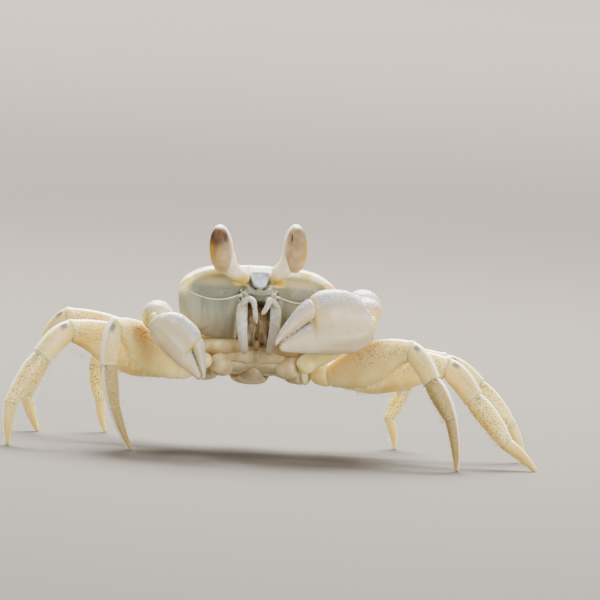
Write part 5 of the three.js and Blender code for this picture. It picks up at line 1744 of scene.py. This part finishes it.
class GHOSTCRAB_OT_carapace(bpy.types.Operator):
    """Model the carapace with its face, orbits and front lobe"""
    bl_idname = "ghost_crab.carapace"
    bl_label = "Carapace"

    def execute(self, context):
        make_carapace(material_of("carapace", carapace_material, context.scene.ghost_crab_colours))
        return {"FINISHED"}


class GHOSTCRAB_OT_underside(bpy.types.Operator):
    """Model the breastplate, the leg bases and the folded abdomen"""
    bl_idname = "ghost_crab.underside"
    bl_label = "Underside"

    def execute(self, context):
        material = material_of("belly", belly_material)
        make_breastplate(material)
        make_abdomen(material)
        return {"FINISHED"}


class GHOSTCRAB_OT_mouth(bpy.types.Operator):
    """Model the outer mouthparts and the folds inside the mouth"""
    bl_idname = "ghost_crab.mouth"
    bl_label = "Mouthparts"

    def execute(self, context):
        make_mouthparts(material_of("mouthparts", mouthpart_material),
                        material_of("lining", mouth_lining_material))
        return {"FINISHED"}


class GHOSTCRAB_OT_eyes(bpy.types.Operator):
    """Model the two tall eyes and their stalks"""
    bl_idname = "ghost_crab.eyes"
    bl_label = "Eyes"

    def execute(self, context):
        make_eyes(material_of("cornea", cornea_material, context.scene.ghost_crab_colours),
                  material_of("stalk", stalk_material))
        return {"FINISHED"}


class GHOSTCRAB_OT_antennae(bpy.types.Operator):
    """Model the short ringed antennae"""
    bl_idname = "ghost_crab.antennae"
    bl_label = "Antennae"

    def execute(self, context):
        make_antennae(material_of("mouthparts", mouthpart_material))
        return {"FINISHED"}


class GHOSTCRAB_OT_claws(bpy.types.Operator):
    """Model the large left claw and the small right claw"""
    bl_idname = "ghost_crab.claws"
    bl_label = "Claws"

    def execute(self, context):
        colours = context.scene.ghost_crab_colours
        for name in SIDES:
            make_claw(name, material_of("claw", claw_material, colours),
                      material_of("merus", leg_material, "merus", colours),
                      material_of("membrane", membrane_material))
        return {"FINISHED"}


class GHOSTCRAB_OT_legs(bpy.types.Operator):
    """Model the eight walking legs"""
    bl_idname = "ghost_crab.legs"
    bl_label = "Walking legs"

    def execute(self, context):
        colours = context.scene.ghost_crab_colours
        shells = {kind: material_of(kind, leg_material, kind, colours) for kind in LEG_LOOKS}
        for name in SIDES:
            for index in range(len(PAIRS)):
                make_leg(index, name, shells, material_of("membrane", membrane_material))
        return {"FINISHED"}


class GHOSTCRAB_OT_bristles(bpy.types.Operator):
    """Model the bristles of the legs and the mouth"""
    bl_idname = "ghost_crab.bristles"
    bl_label = "Bristles"

    def execute(self, context):
        sizes = context.scene.ghost_crab_bristles
        make_bristles(material_of("bristles", bristle_material), sizes.length / MM,
                      sizes.thickness / MM, sizes.seed)
        return {"FINISHED"}


class GHOSTCRAB_OT_stage(bpy.types.Operator):
    """Set up the floor, the lamps and the camera"""
    bl_idname = "ghost_crab.stage"
    bl_label = "Stage"

    def execute(self, context):
        settings = context.scene.ghost_crab_stage
        make_stage(settings.light, settings.floor)
        return {"FINISHED"}


STEPS = (GHOSTCRAB_OT_stage, GHOSTCRAB_OT_carapace, GHOSTCRAB_OT_underside, GHOSTCRAB_OT_mouth,
         GHOSTCRAB_OT_eyes, GHOSTCRAB_OT_antennae, GHOSTCRAB_OT_claws, GHOSTCRAB_OT_legs,
         GHOSTCRAB_OT_bristles)
GROUPS = {"ghost_crab_colours": GhostCrabColours, "ghost_crab_bristles": GhostCrabBristles,
          "ghost_crab_stage": GhostCrabStage}


class GHOSTCRAB_PT_panel(bpy.types.Panel):
    """Ghost crab"""
    bl_label = "Ghost Crab"
    bl_idname = "GHOSTCRAB_PT_panel"
    bl_space_type = "VIEW_3D"
    bl_region_type = "UI"
    bl_category = "Ghost Crab"

    def draw(self, context):
        for name, group in GROUPS.items():
            settings = getattr(context.scene, name)
            for key in group.__annotations__:
                self.layout.prop(settings, key)
        for step in STEPS:
            self.layout.operator(step.bl_idname)


def register():
    for item in (*GROUPS.values(), *STEPS, GHOSTCRAB_PT_panel):
        bpy.utils.register_class(item)
    for name, group in GROUPS.items():
        setattr(bpy.types.Scene, name, PointerProperty(type=group))


def unregister():
    for name in GROUPS:
        delattr(bpy.types.Scene, name)
    for item in (GHOSTCRAB_PT_panel, *reversed(STEPS), *reversed(GROUPS.values())):
        bpy.utils.unregister_class(item)


def main():
    register()
    for step in STEPS:
        getattr(bpy.ops.ghost_crab, step.bl_idname.split(".")[1])()


if __name__ == "__main__":
    main()
